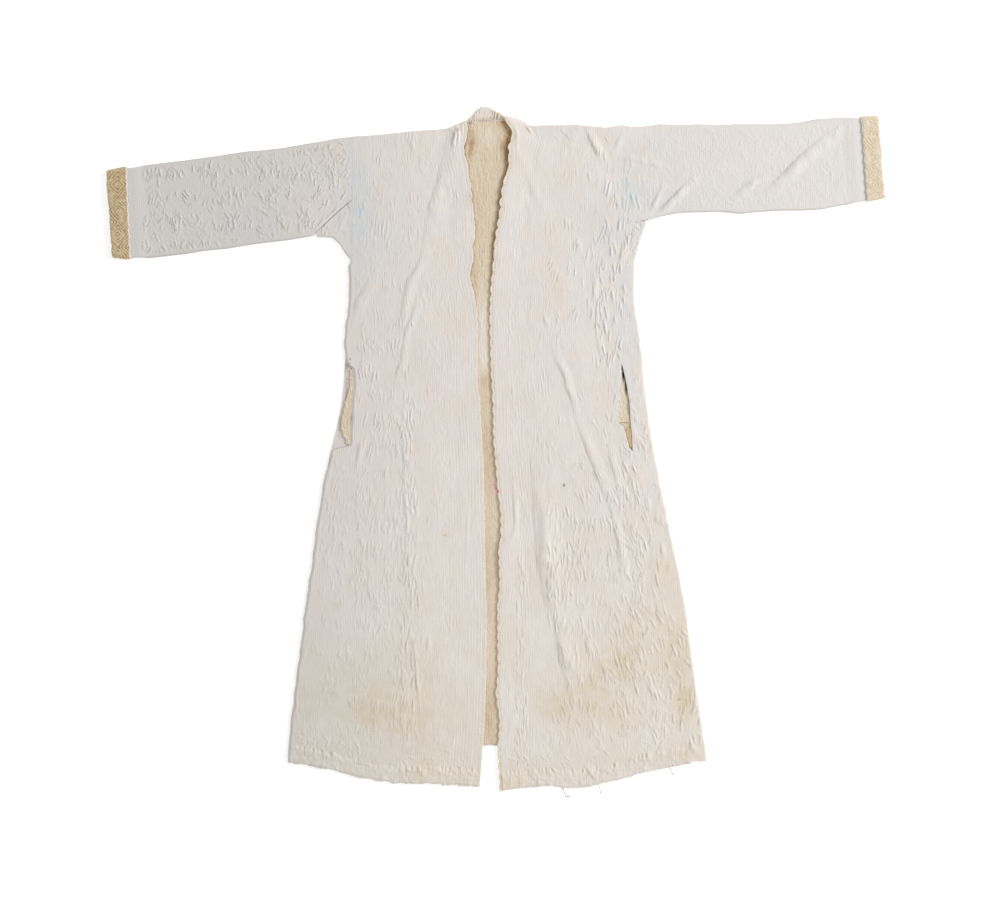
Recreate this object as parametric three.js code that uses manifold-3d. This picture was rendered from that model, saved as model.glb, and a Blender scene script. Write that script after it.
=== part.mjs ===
// A quilted cotton robe, open down the front, laid flat on its back with both sleeves spread.
// Millimetres. +X is the wearer's left, +Y points to the neck and +Z up from the floor.
// The origin is on the floor, under the middle of the garment.

import * as THREE from "three";
import { mergeVertices } from "three/addons/utils/BufferGeometryUtils.js";
import Module from "manifold-3d";

const manifold = await Module();
manifold.setup();

// Cloth thicknesses and the heights at which the layers lie
const GAP = 0.3;
const FRONT_CLOTH = 2.4;
const BACK_CLOTH = 2.0;
const LINING_CLOTH = 1.0;
const TRIM_CLOTH = 1.6;
const LINING_BASE = BACK_CLOTH + GAP;
const FRONT_BASE = LINING_BASE + LINING_CLOTH + GAP;
const STACK = FRONT_BASE + FRONT_CLOTH;

// Quilting: fine channels run along both front edges, and short puckers fill the rest
const CHANNEL_PITCH = 5.4;
const CHANNELS = 12;
const CHANNEL_HEIGHT = 0.7;
const PUCKER_PITCH = 26;
const PUCKER_LENGTH = 84;
const PUCKER_HEIGHT = 0.8;

// The front edges are bound with a narrow scalloped strip, lifted off the lining at the neck
const BINDING_WIDTH = 6;
const BINDING_HEIGHT = 2.8;
const SCALLOPS = 54;
const SCALLOP_DEPTH = 1.6;
const EDGE_ROLL_WIDTH = 45;

// Right front's side edge: hem, side seam, slit (stepped in) and armhole
const RIGHT_SIDE = [
  { y: -565, x: -373 },
  { y: -490, x: -367 },
  { y: -418, x: -358 },
  { y: -346, x: -349 },
  { y: -274, x: -340 },
  { y: -202, x: -329 },
  { y: -130, x: -319 },
  { y: -58, x: -308 },
  { y: -4, x: -295 },
  { y: 4, x: -261 },
  { y: 38, x: -260 },
  { y: 86, x: -257 },
  { y: 113, x: -253 },
  { y: 144, x: -257 },
  { y: 152, x: -269 },
  { y: 194, x: -272 },
  { y: 266, x: -263 },
  { y: 328, x: -264 },
  { y: 335, x: -258 },
  { y: 400, x: -258 },
  { y: 446, x: -258 },
  { y: 500, x: -258 },
  { y: 560, x: -258 },
];

// Left side: the front's edge, the back's wrapped edge beside it, and the fold of the back
const LEFT_SIDE = [
  { y: -563, front: 350, wrap: 350, fold: 381 },
  { y: -490, front: 345, wrap: 345, fold: 371 },
  { y: -418, front: 338, wrap: 338, fold: 360 },
  { y: -346, front: 324, wrap: 324, fold: 350 },
  { y: -286, front: 307, wrap: 307, fold: 342 },
  { y: -238, front: 293, wrap: 293, fold: 333 },
  { y: -175, front: 286, wrap: 286, fold: 320 },
  { y: -115, front: 271, wrap: 271, fold: 308 },
  { y: -58, front: 257, wrap: 257, fold: 296 },
  { y: -6, front: 246, wrap: 246, fold: 286 },
  { y: 0, front: 240, wrap: 246, fold: 285 },
  { y: 38, front: 230, wrap: 243.5, fold: 279 },
  { y: 45, front: 219, wrap: 243, fold: 278 },
  { y: 86, front: 221, wrap: 240, fold: 272 },
  { y: 117, front: 224, wrap: 235, fold: 268 },
  { y: 155, front: 226, wrap: 226, fold: 265 },
  { y: 194, front: 229, wrap: 229, fold: 261 },
  { y: 266, front: 234, wrap: 234, fold: 250 },
  { y: 336, front: 238, wrap: 238, fold: 251 },
  { y: 404, front: 246, wrap: 246, fold: 246 },
  { y: 412, front: 273, wrap: 273, fold: 273 },
  { y: 470, front: 273, wrap: 273, fold: 273 },
  { y: 525, front: 273, wrap: 273, fold: 273 },
  { y: 576, front: 273, wrap: 273, fold: 273 },
];
const WRAP_TOP = 336;

// Opening edges, bindings included
const RIGHT_EDGE = [
  { y: -610, x: -28 },
  { y: -535, x: -22 },
  { y: -493, x: -19 },
  { y: -436, x: -17 },
  { y: -320, x: -15 },
  { y: -157, x: -19 },
  { y: -31, x: -21 },
  { y: 45, x: -26 },
  { y: 90, x: -28 },
  { y: 113, x: -32 },
  { y: 241, x: -32 },
  { y: 284, x: -39 },
  { y: 310, x: -47 },
  { y: 338, x: -40 },
  { y: 364, x: -41 },
  { y: 383, x: -36 },
  { y: 466, x: -43 },
  { y: 504, x: -49 },
  { y: 527, x: -55 },
  { y: 571, x: -52 },
];
const LEFT_EDGE = [
  { y: -617, x: 7 },
  { y: -590, x: 6 },
  { y: -535, x: 3 },
  { y: -486, x: 6 },
  { y: -445, x: -1 },
  { y: -401, x: 3 },
  { y: -286, x: 2 },
  { y: -247, x: 6 },
  { y: -176, x: 4 },
  { y: -167, x: 8 },
  { y: -119, x: 8 },
  { y: -67, x: 2 },
  { y: 14, x: -5 },
  { y: 74, x: -6 },
  { y: 153, x: -10 },
  { y: 248, x: -12 },
  { y: 310, x: -8 },
  { y: 369, x: -3 },
  { y: 423, x: 5 },
  { y: 475, x: 12 },
  { y: 499, x: 21 },
  { y: 542, x: 23 },
  { y: 562, x: 28 },
  { y: 580, x: 21 },
];

// Hems and shoulder lines, from the wearer's right to the left
const RIGHT_HEM = [
  { x: -373, y: -565 },
  { x: -309, y: -576 },
  { x: -235, y: -594 },
  { x: -181, y: -603 },
  { x: -73, y: -605 },
  { x: -28, y: -610 },
];
const LEFT_HEM = [
  { x: 7, y: -617 },
  { x: 62, y: -610 },
  { x: 89, y: -607 },
  { x: 125, y: -612 },
  { x: 170, y: -608 },
  { x: 224, y: -596 },
  { x: 278, y: -580 },
  { x: 350, y: -567 },
];
const BACK_HEM = [
  { x: -373, y: -565 },
  { x: -200, y: -546 },
  { x: -10, y: -535 },
  { x: 200, y: -546 },
  { x: 381, y: -563 },
];
const RIGHT_SHOULDER = [
  { x: -258, y: 560 },
  { x: -208, y: 563 },
  { x: -154, y: 571 },
  { x: -100, y: 576 },
  { x: -75, y: 579 },
  { x: -66, y: 571 },
  { x: -50, y: 571 },
];
const LEFT_SHOULDER = [
  { x: 17, y: 578 },
  { x: 35, y: 573 },
  { x: 62, y: 568 },
  { x: 72, y: 580 },
  { x: 143, y: 581 },
  { x: 197, y: 576 },
  { x: 224, y: 581 },
  { x: 251, y: 576 },
  { x: 273, y: 579 },
];
const BACK_SHOULDER = [
  { x: -258, y: 560 },
  { x: -208, y: 563 },
  { x: -154, y: 571 },
  { x: -75, y: 579 },
  { x: -50, y: 574 },
  { x: -28, y: 588 },
  { x: -10, y: 593 },
  { x: 13, y: 587 },
  { x: 58, y: 574 },
  { x: 72, y: 580 },
  { x: 143, y: 581 },
  { x: 197, y: 576 },
  { x: 273, y: 579 },
];

// Neck band, from the wearer's right to the left: its outer and its inner edge
const NECK_BAND = [
  { outerX: -59, outerY: 576, innerX: -43, innerY: 574 },
  { outerX: -53, outerY: 590, innerX: -38, innerY: 578 },
  { outerX: -46, outerY: 602, innerX: -33, innerY: 582 },
  { outerX: -36, outerY: 609, innerX: -26, innerY: 586 },
  { outerX: -25, outerY: 615, innerX: -18, innerY: 589 },
  { outerX: -15, outerY: 615, innerX: -9, innerY: 590 },
  { outerX: -5, outerY: 611, innerX: -2, innerY: 590 },
  { outerX: 4, outerY: 607, innerX: 5, innerY: 588 },
  { outerX: 13, outerY: 602, innerX: 11, innerY: 585 },
  { outerX: 24, outerY: 597, innerX: 20, innerY: 582 },
  { outerX: 36, outerY: 593, innerX: 32, innerY: 578 },
  { outerX: 50, outerY: 587, innerX: 46, innerY: 574 },
  { outerX: 63, outerY: 581, innerX: 60, innerY: 570.5 },
];
const GATHER_HEIGHT = 1.5;

// Sleeves: upper and lower edge along the sleeve, from the armhole to the wrist
const RIGHT_SLEEVE = [
  { x: -258.3, high: 560, low: 446 },
  { x: -280, high: 558, low: 427 },
  { x: -305, high: 553, low: 404 },
  { x: -330, high: 549, low: 381 },
  { x: -353, high: 545, low: 377 },
  { x: -381, high: 540, low: 373 },
  { x: -417, high: 536, low: 369 },
  { x: -453, high: 533, low: 364 },
  { x: -489, high: 527, low: 358 },
  { x: -525, high: 522, low: 355 },
  { x: -561, high: 517, low: 349 },
  { x: -597, high: 513, low: 345 },
  { x: -633, high: 508, low: 341 },
  { x: -663, high: 506, low: 339 },
  { x: -694, high: 499, low: 342 },
];
const LEFT_SLEEVE = [
  { x: 273.3, high: 579, low: 408 },
  { x: 296, high: 583, low: 416 },
  { x: 332, high: 581, low: 423 },
  { x: 368, high: 583, low: 424 },
  { x: 404, high: 581, low: 425 },
  { x: 440, high: 583, low: 421 },
  { x: 476, high: 583, low: 425 },
  { x: 512, high: 583, low: 427 },
  { x: 548, high: 585, low: 427 },
  { x: 584, high: 592, low: 429 },
  { x: 620, high: 594, low: 436 },
  { x: 656, high: 597, low: 441 },
  { x: 695, high: 597, low: 449 },
];

// Each cuff leans: its end and its turned edge reach different places above and below
const RIGHT_CUFF = { endHigh: -700, endLow: -689, edgeHigh: -661, edgeLow: -654 };
const LEFT_CUFF = { endHigh: 689, endLow: 701, edgeHigh: 655, edgeLow: 666 };
const CUFF_CLOTH = 2.2;
const CUFF_SCALLOP = 1.5;
const CUFFED_SLEEVE = { bottom: CUFF_CLOTH + GAP, height: 5.2 };
const CUFF_RAMP = 32;

// Underarm gussets, each folded along its free lower edge
const RIGHT_GUSSET = [
  { x: -320, seam: 389, fold: 379 },
  { x: -305, seam: 403, fold: 379 },
  { x: -293, seam: 414, fold: 378 },
  { x: -280, seam: 426, fold: 366 },
  { x: -269, seam: 435.5, fold: 348 },
  { x: -258.8, seam: 444, fold: 336 },
];
const LEFT_GUSSET = [
  { y: 340, seam: 239.4, fold: 252 },
  { y: 356, seam: 241.5, fold: 257 },
  { y: 374, seam: 243.5, fold: 262 },
  { y: 389, seam: 245.5, fold: 268 },
  { y: 403, seam: 247, fold: 273 },
];

// Turned-out facing strips and the loose tab at the side slits
const RIGHT_FACING = [
  { y: 7, from: -267, to: -262 },
  { y: 23, from: -273, to: -261.5 },
  { y: 38, from: -278, to: -261 },
  { y: 52, from: -277, to: -260.5 },
  { y: 67, from: -273, to: -259.5 },
  { y: 88, from: -269, to: -258 },
  { y: 103, from: -264, to: -255.5 },
  { y: 113, from: -261, to: -254 },
  { y: 141, from: -262, to: -257.5 },
];
const LEFT_FACING = [
  { y: 46, from: 219.5, to: 240 },
  { y: 59, from: 220.2, to: 239.5 },
  { y: 73, from: 220.8, to: 236 },
  { y: 86, from: 221.5, to: 237 },
  { y: 100, from: 222.8, to: 232 },
  { y: 117, from: 224.5, to: 227.5 },
  { y: 140, from: 225.8, to: 227.8 },
];
const LEFT_TAB = [
  { y: 2, from: 241, to: 245.4 },
  { y: 20, from: 236, to: 244.2 },
  { y: 36, from: 231.5, to: 242.8 },
];

// Soft folds: a crest from one point to another, with its half width and height
const RIGHT_FRONT_FOLDS = [
  { x1: -80, y1: 560, x2: -104, y2: 446, width: 34, height: 4 },
  { x1: -104, y1: 446, x2: -160, y2: 300, width: 30, height: 5 },
  { x1: -106, y1: 380, x2: -155, y2: 290, width: 15, height: 4 },
  { x1: -132, y1: 290, x2: -164, y2: 190, width: 14, height: 4 },
  { x1: -164, y1: 190, x2: -154, y2: -94, width: 13, height: 3 },
  { x1: -154, y1: -130, x2: -148, y2: -504, width: 12, height: 2 },
  { x1: -208, y1: 310, x2: -243, y2: 221, width: 16, height: 4 },
  { x1: -232, y1: 5, x2: -245, y2: -60, width: 14, height: 3 },
  { x1: -205, y1: 20, x2: -212, y2: -120, width: 12, height: 2.5 },
  { x1: -250, y1: -250, x2: -262, y2: -470, width: 20, height: 2.5 },
  { x1: -240, y1: 470, x2: -190, y2: 330, width: 24, height: 2.5 },
];
const LEFT_FRONT_FOLDS = [
  { x1: 55, y1: -30, x2: 64, y2: -193, width: 26, height: 7 },
  { x1: 64, y1: -193, x2: 92, y2: -308, width: 26, height: 7 },
  { x1: 92, y1: -308, x2: 116, y2: -430, width: 24, height: 5 },
  { x1: 95, y1: 195, x2: 128, y2: 99, width: 16, height: 4 },
  { x1: 128, y1: 99, x2: 176, y2: -34, width: 16, height: 4 },
  { x1: 176, y1: -34, x2: 222, y2: -250, width: 18, height: 3.5 },
  { x1: 30, y1: -90, x2: 28, y2: -170, width: 12, height: 3 },
  { x1: 130, y1: 576, x2: 178, y2: 524, width: 18, height: 5 },
  { x1: 215, y1: 563, x2: 205, y2: 520, width: 14, height: 3.5 },
  { x1: 205, y1: 520, x2: 262, y2: 508, width: 12, height: 3 },
  { x1: 170, y1: 312, x2: 170, y2: 255, width: 13, height: 3 },
  { x1: 110, y1: 500, x2: 150, y2: 380, width: 24, height: 3 },
  { x1: 200, y1: 420, x2: 215, y2: 300, width: 18, height: 3.5 },
  { x1: 235, y1: -270, x2: 270, y2: -480, width: 20, height: 2.5 },
];
const RIGHT_SLEEVE_FOLDS = [
  { x1: -300, y1: 440, x2: -345, y2: 520, width: 22, height: 3 },
  { x1: -400, y1: 400, x2: -455, y2: 500, width: 26, height: 2.5 },
  { x1: -560, y1: 390, x2: -600, y2: 480, width: 26, height: 2.5 },
];
const LEFT_SLEEVE_FOLDS = [
  { x1: 478, y1: 462, x2: 545, y2: 525, width: 18, height: 6 },
  { x1: 545, y1: 525, x2: 606, y2: 575, width: 18, height: 6 },
  { x1: 428, y1: 458, x2: 466, y2: 492, width: 16, height: 4 },
  { x1: 292, y1: 432, x2: 345, y2: 500, width: 18, height: 5 },
  { x1: 290, y1: 506, x2: 330, y2: 500, width: 14, height: 3 },
  { x1: 590, y1: 460, x2: 630, y2: 520, width: 18, height: 2.5 },
];

const mix = THREE.MathUtils.lerp;
const smooth = THREE.MathUtils.smoothstep;

// Value of one column of a table at a place, straight between its rows
function read(table, place, column, at) {
  const rising = table[table.length - 1][place] > table[0][place];
  const rows = rising ? table : [...table].reverse();
  if (at <= rows[0][place]) return rows[0][column];
  for (let i = 1; i < rows.length; i++) {
    const before = rows[i - 1];
    const after = rows[i];
    if (at <= after[place]) {
      const share = (at - before[place]) / (after[place] - before[place]);
      return mix(before[column], after[column], share);
    }
  }
  return rows[rows.length - 1][column];
}

// Height that the soft folds of a piece add at a point
function foldHeight(folds, x, y) {
  let height = 0;
  for (const fold of folds) {
    const dx = fold.x2 - fold.x1;
    const dy = fold.y2 - fold.y1;
    const length = Math.hypot(dx, dy);
    const along = ((x - fold.x1) * dx + (y - fold.y1) * dy) / length;
    const across = Math.abs((x - fold.x1) * dy - (y - fold.y1) * dx) / length;
    const past = Math.max(0, -along, along - length);
    const reach = Math.hypot(across, past) / fold.width;
    if (reach < 1) height = Math.max(height, fold.height * Math.cos((reach * Math.PI) / 2) ** 2);
  }
  return height;
}

// Height of the short quilted puckers, which change phase from block to block
function puckerHeight(x, y) {
  const across = Math.sin((2 * Math.PI * x) / PUCKER_PITCH + 1.4 * Math.sin(y / 47));
  const down = Math.sin((2 * Math.PI * y) / PUCKER_LENGTH + x / 31);
  return (PUCKER_HEIGHT * (1 + across * down)) / 2;
}

// Triangles between two edges, which may have different numbers of points
function zip(points, edgeA, edgeB, triangles) {
  let a = 0;
  let b = 0;
  const span = (i, j) => points[i].distanceTo(points[j]);
  while (a < edgeA.length - 1 || b < edgeB.length - 1) {
    const endA = a === edgeA.length - 1;
    const endB = b === edgeB.length - 1;
    if (endB || (!endA && span(edgeA[a + 1], edgeB[b]) <= span(edgeA[a], edgeB[b + 1]))) {
      triangles.push(edgeA[a + 1], edgeA[a], edgeB[b]);
      a++;
    } else {
      triangles.push(edgeB[b], edgeB[b + 1], edgeA[a]);
      b++;
    }
  }
}

// A closed wall of cloth between an outer and an inner grid of points.
// A ring closes each row on itself, as a sleeve does, and stays open at both ends.
function wall(outer, inner, ring = false) {
  const points = [...outer.flat(), ...inner.flat()];
  const triangles = [];
  const outerAt = (i, j) => i * outer[0].length + (j % outer[0].length);
  const innerStart = outer.length * outer[0].length;
  const innerAt = (i, j) => innerStart + i * inner[0].length + (j % inner[0].length);
  const skins = [
    { rows: outer, at: outerAt, turned: false },
    { rows: inner, at: innerAt, turned: true },
  ];
  for (const { rows, at, turned } of skins) {
    const columns = ring ? rows[0].length : rows[0].length - 1;
    for (let i = 0; i < rows.length - 1; i++) {
      for (let j = 0; j < columns; j++) {
        const quad = [at(i, j), at(i, j + 1), at(i + 1, j + 1), at(i + 1, j)];
        if (turned) quad.reverse();
        triangles.push(quad[0], quad[1], quad[2], quad[0], quad[2], quad[3]);
      }
    }
  }
  const rowOf = (rows, at, i) => {
    const count = ring ? rows[0].length + 1 : rows[0].length;
    return Array.from({ length: count }, (_, j) => at(i, j));
  };
  const columnOf = (rows, at, j) => rows.map((_, i) => at(i, j));
  const lastOuter = outer.length - 1;
  const lastInner = inner.length - 1;
  zip(points, rowOf(outer, outerAt, 0), rowOf(inner, innerAt, 0), triangles);
  zip(
    points,
    rowOf(outer, outerAt, lastOuter).reverse(),
    rowOf(inner, innerAt, lastInner).reverse(),
    triangles,
  );
  if (!ring) {
    const farOuter = outer[0].length - 1;
    const farInner = inner[0].length - 1;
    zip(points, columnOf(outer, outerAt, farOuter), columnOf(inner, innerAt, farInner), triangles);
    zip(
      points,
      columnOf(outer, outerAt, 0).reverse(),
      columnOf(inner, innerAt, 0).reverse(),
      triangles,
    );
  }
  const geometry = new THREE.BufferGeometry().setFromPoints(points);
  geometry.setIndex(triangles);
  return facingOut(geometry);
}

// The same closed geometry with its faces turned outwards
function facingOut(geometry) {
  const place = geometry.attributes.position;
  const index = geometry.index.array;
  const corner = [new THREE.Vector3(), new THREE.Vector3(), new THREE.Vector3()];
  let volume = 0;
  for (let i = 0; i < index.length; i += 3) {
    corner.forEach((point, k) => point.fromBufferAttribute(place, index[i + k]));
    volume += corner[0].dot(corner[1].clone().cross(corner[2]));
  }
  if (volume < 0) geometry.setIndex([...index].reverse());
  return geometry;
}

// Two closed geometries joined into one
function joined(first, second) {
  const [a, b] = [first, second].map((geometry) => {
    const merged = mergeVertices(geometry, 1e-4);
    return new manifold.Manifold(
      new manifold.Mesh({
        numProp: 3,
        vertProperties: merged.attributes.position.array,
        triVerts: new Uint32Array(merged.index.array),
      }),
    );
  });
  const mesh = a.add(b).getMesh();
  const geometry = new THREE.BufferGeometry();
  geometry.setAttribute("position", new THREE.BufferAttribute(mesh.vertProperties, mesh.numProp));
  geometry.setIndex(new THREE.BufferAttribute(mesh.triVerts, 1));
  return geometry;
}

// Materials: worn cotton in off-white, and the ochre of its yellowed lining
function cloth(color, roughness) {
  return new THREE.MeshStandardMaterial({ color, roughness, metalness: 0 });
}

const robe = new THREE.Group();
function add(name, geometry, material) {
  const mesh = new THREE.Mesh(geometry, material);
  mesh.name = name;
  robe.add(mesh);
}

// One front: a Coons patch between its side edge, opening edge, hem and shoulder.
// The columns are even over the field and follow the opening edge over the channels.
function frontPanel({ side, sideColumn, edge, hem, shoulder, folds, inward, roll }) {
  const channelZone = CHANNELS * CHANNEL_PITCH;
  const fieldColumns = 15;
  const first = side[0].y;
  const last = side[side.length - 1].y;
  const edgeFirst = edge[0].y;
  const edgeLast = edge[edge.length - 1].y;
  const rowPoints = (row) => {
    const share = (row.y - first) / (last - first);
    const edgeY = mix(edgeFirst, edgeLast, share);
    const edgeX = read(edge, "y", "x", edgeY) - inward * BINDING_WIDTH;
    return { share, sideX: row[sideColumn], sideY: row.y, edgeX, edgeY };
  };
  const place = ({ share, sideX, sideY, edgeX, edgeY }, fromEdge, fieldShare) => {
    const channelX = edgeX - inward * fromEdge;
    const fieldX = mix(sideX, edgeX - inward * channelZone, fieldShare ?? 0);
    const x = fieldShare === null ? channelX : fieldX;
    const across = (x - sideX) / (edgeX - sideX);
    const hemLine = mix(first, edgeFirst, across);
    const topLine = mix(last, edgeLast, across);
    const hemTurn = (read(hem, "x", "y", x) - hemLine) * (1 - share) ** 3;
    const topTurn = (read(shoulder, "x", "y", x) - topLine) * share ** 3;
    return { x, y: mix(sideY, edgeY, across) + hemTurn + topTurn };
  };
  const columns = [];
  for (let i = 0; i < fieldColumns; i++) {
    columns.push({ fromEdge: null, field: i / fieldColumns });
  }
  for (let i = 2 * CHANNELS; i >= 0; i--) {
    columns.push({ fromEdge: (i * CHANNEL_PITCH) / 2, field: null });
  }
  const innerColumns = columns.filter((_, i) => i % 3 === 0 || i === columns.length - 1);
  const fadeWidth = 18;
  const edgeFade = (x, row) => {
    const fromSide = smooth(Math.abs(x - row.sideX), 0, fadeWidth);
    return fromSide * smooth(Math.abs(x - row.edgeX), 0, fadeWidth);
  };
  const base = (x, y, row) => {
    const lift = roll(row.edgeY) * (1 - smooth(Math.abs(x - row.edgeX), 0, EDGE_ROLL_WIDTH));
    return FRONT_BASE + foldHeight(folds, x, y) * edgeFade(x, row) + lift;
  };
  const rows = side.map(rowPoints);
  const grid = (columnList, raised) =>
    rows.map((row) =>
      columnList.map(({ fromEdge, field }, j) => {
        const { x, y } = place(row, fromEdge, field);
        let z = base(x, y, row);
        if (raised) {
          const inField = fromEdge === null;
          const channel = j % 2 === columns.length % 2 ? CHANNEL_HEIGHT : 0;
          z += FRONT_CLOTH + (inField ? puckerHeight(x, y) * edgeFade(x, row) : channel);
        }
        return new THREE.Vector3(x, y, z);
      }),
    );
  const top = grid(columns, true);
  const edgeLine = rows.map((row) => {
    const { x, y } = place(row, 0, null);
    return { x, y, z: base(x, y, row) };
  });
  return { geometry: wall(top, grid(innerColumns, false)), edgeLine };
}

// Scalloped binding along a front's edge, a low bead on three columns
function binding(edgeLine, inward) {
  const steps = 3;
  const spine = [];
  for (let i = 0; i < edgeLine.length - 1; i++) {
    for (let k = 0; k < steps; k++) {
      const share = k / steps;
      const from = edgeLine[i];
      const to = edgeLine[i + 1];
      spine.push({
        x: mix(from.x, to.x, share),
        y: mix(from.y, to.y, share),
        z: mix(from.z, to.z, share),
      });
    }
  }
  spine.push(edgeLine[edgeLine.length - 1]);
  const outer = [];
  const inner = [];
  spine.forEach(({ x, y, z }, i) => {
    const wave = Math.abs(Math.sin((Math.PI * SCALLOPS * i) / (spine.length - 1)));
    const reach = BINDING_WIDTH - GAP - SCALLOP_DEPTH * (1 - wave);
    const near = x + inward * GAP;
    const far = near + inward * reach;
    outer.push([
      new THREE.Vector3(near, y, z + BINDING_HEIGHT - 0.5),
      new THREE.Vector3(mix(near, far, 0.5), y, z + BINDING_HEIGHT + 0.4 * wave),
      new THREE.Vector3(far, y, z + BINDING_HEIGHT - 1.1),
    ]);
    inner.push([new THREE.Vector3(near, y, z), new THREE.Vector3(far, y, z)]);
  });
  return wall(outer, inner);
}

// Section of a flattened tube across a sleeve: outer loop at depth 0, or its inner loop at a depth
function tubeSection({ low, high, bottom, height, depth, placeX, raise }) {
  const radius = height / 2;
  const middle = bottom + radius;
  const points = [];
  const turn = radius - depth;
  const flat = 9;
  const add = (y, z, onTop) => {
    const share = (y - low) / (high - low);
    const x = placeX(share);
    points.push(new THREE.Vector3(x, y, z + (onTop ? raise(x, y) : 0)));
  };
  const flatPlace = (i) => mix(low + radius, high - radius, i / flat);
  for (let i = 0; i <= flat; i++) add(flatPlace(i), middle - turn, false);
  for (const angle of [-45, 0, 45]) {
    const bend = (angle * Math.PI) / 180;
    add(high - radius + turn * Math.cos(bend), middle + turn * Math.sin(bend), false);
  }
  for (let i = flat; i >= 0; i--) add(flatPlace(i), middle + turn, true);
  for (const angle of [135, 180, 225]) {
    const bend = (angle * Math.PI) / 180;
    add(low + radius + turn * Math.cos(bend), middle + turn * Math.sin(bend), false);
  }
  return points;
}

// Sleeve: a flattened tube that thins and rises onto its turned cuff near the wrist
function sleeve(table, cuff, folds) {
  const end = table[table.length - 1];
  const start = table[0];
  const side = Math.sign(end.x);
  const outer = [];
  const inner = [];
  for (const row of table) {
    const along = (row.x - start.x) / (end.x - start.x);
    const endX = (share) => mix(cuff.endLow, cuff.endHigh, share) - side * (CUFF_CLOTH + 4 * GAP);
    const placeX = (share) => mix(start.x, endX(share), along);
    const cuffEdge = (cuff.edgeHigh + cuff.edgeLow) / 2;
    const onCuff = smooth(side * (row.x - cuffEdge), -CUFF_RAMP, -8);
    const section = {
      low: row.low + onCuff * (CUFF_CLOTH + GAP),
      high: row.high - onCuff * (CUFF_CLOTH + GAP),
      bottom: onCuff * CUFFED_SLEEVE.bottom,
      height: mix(STACK, CUFFED_SLEEVE.height, onCuff),
      placeX,
    };
    const free = (x, y) => (1 - onCuff) * smooth(Math.min(y - row.low, row.high - y), 3, 22);
    const fromArmhole = (x) => smooth(Math.abs(x - start.x), 0, 25);
    const folded = (x, y) => foldHeight(folds, x, y) * free(x, y) * fromArmhole(x);
    const quilted = (x, y) => folded(x, y) + puckerHeight(y, x) * free(x, y);
    outer.push(tubeSection({ ...section, depth: 0, raise: quilted }));
    inner.push(tubeSection({ ...section, depth: FRONT_CLOTH, raise: folded }));
  }
  return wall(outer, inner, true);
}

// Cuff turned back over the sleeve's end: it closes over the end, then lies round the sleeve
function turnedCuff(table, cuff) {
  const end = table[table.length - 1];
  const before = table[table.length - 2];
  const side = Math.sign(end.x);
  const total = CUFFED_SLEEVE.height + 2 * (CUFF_CLOTH + GAP);
  const slit = 0.4;
  const profile = [
    { share: 0, inset: 2, depth: total / 2 - slit - 2 },
    { share: 0.04, inset: 0, depth: total / 2 - slit },
    { share: 0.064, inset: 0, depth: CUFF_CLOTH },
    { share: 0.3, inset: 0, depth: CUFF_CLOTH },
    { share: 0.53, inset: 0, depth: CUFF_CLOTH },
    { share: 0.77, inset: 0, depth: CUFF_CLOTH },
    { share: 1, inset: 0.6, depth: CUFF_CLOTH - 0.6 },
  ];
  const loop = ({ share, inset, depth }, isOuter) => {
    const x = mix(end.x, (cuff.edgeHigh + cuff.edgeLow) / 2, share);
    const step = (x - before.x) / (end.x - before.x);
    const placeX = (up) => {
      const ends = mix(cuff.endLow, cuff.endHigh, up);
      const edges = mix(cuff.edgeLow, cuff.edgeHigh, up);
      const wave = share === 1 ? side * CUFF_SCALLOP * Math.abs(Math.sin(9 * Math.PI * up)) : 0;
      return mix(ends, edges, share) + wave;
    };
    const ribs = share > 0.1 && share < 0.99;
    return tubeSection({
      low: mix(before.low, end.low, step) + inset,
      high: mix(before.high, end.high, step) - inset,
      bottom: inset,
      height: total - 2 * inset,
      depth: isOuter ? 0 : depth,
      placeX,
      raise: (_, y) => (isOuter && ribs ? 0.35 * (1 + Math.sin(y / 3)) : 0),
    });
  };
  const outer = profile.map((row) => loop(row, true));
  const inner = profile.map((row) => loop(row, false));
  return wall(outer, inner, true);
}

// A piece folded along its free edge: lower leaf, fold and upper leaf, open towards its seam
function foldedSection({ seam, fold, seamBelow, cloth: thickness, raise, at }) {
  const radius = STACK / 2;
  const side = Math.sign(fold - seam);
  const centre = fold - side * radius;
  const path = (depth) => {
    const turn = radius - depth;
    const points = [at(seamBelow, radius - turn), at(centre, radius - turn)];
    for (const angle of [-45, 0, 45]) {
      const bend = (angle * Math.PI) / 180;
      points.push(at(centre + side * turn * Math.cos(bend), radius + turn * Math.sin(bend)));
    }
    points.push(at(centre, radius + turn));
    points.push(at(mix(centre, seam, 0.5), radius + turn + (depth ? 0 : raise)));
    points.push(at(seam, radius + turn));
    return points;
  };
  return { outer: path(0), inner: path(thickness) };
}

function foldedPiece(sections) {
  return wall(
    sections.map(({ outer }) => outer),
    sections.map(({ inner }) => inner),
  );
}

// Underarm gusset: its rows cross the sleeve at an x, or the body at a y
function gusset(rows) {
  return foldedPiece(
    rows.map(({ x, y, seam, fold }, i) =>
      foldedSection({
        seam,
        fold,
        seamBelow: seam,
        cloth: FRONT_CLOTH,
        raise: 0.6 * (i % 2),
        at: (across, z) =>
          y === undefined ? new THREE.Vector3(x, across, z) : new THREE.Vector3(across, y, z),
      }),
    ),
  );
}

// A plain flat sheet between two edges, from rows that give y, from and to
function strip(rows, base, thickness, ridge) {
  const shares = [0, 0.33, 0.67, 1];
  const outer = rows.map(({ y, from, to }, i) =>
    shares.map((share, j) => {
      const raised = j === 1 || j === 2 ? ridge * (i % 2) : 0;
      return new THREE.Vector3(mix(from, to, share), y, base + thickness + raised);
    }),
  );
  const inner = rows.map(({ y, from, to }) => [from, to].map((x) => new THREE.Vector3(x, y, base)));
  return wall(outer, inner);
}

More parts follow.
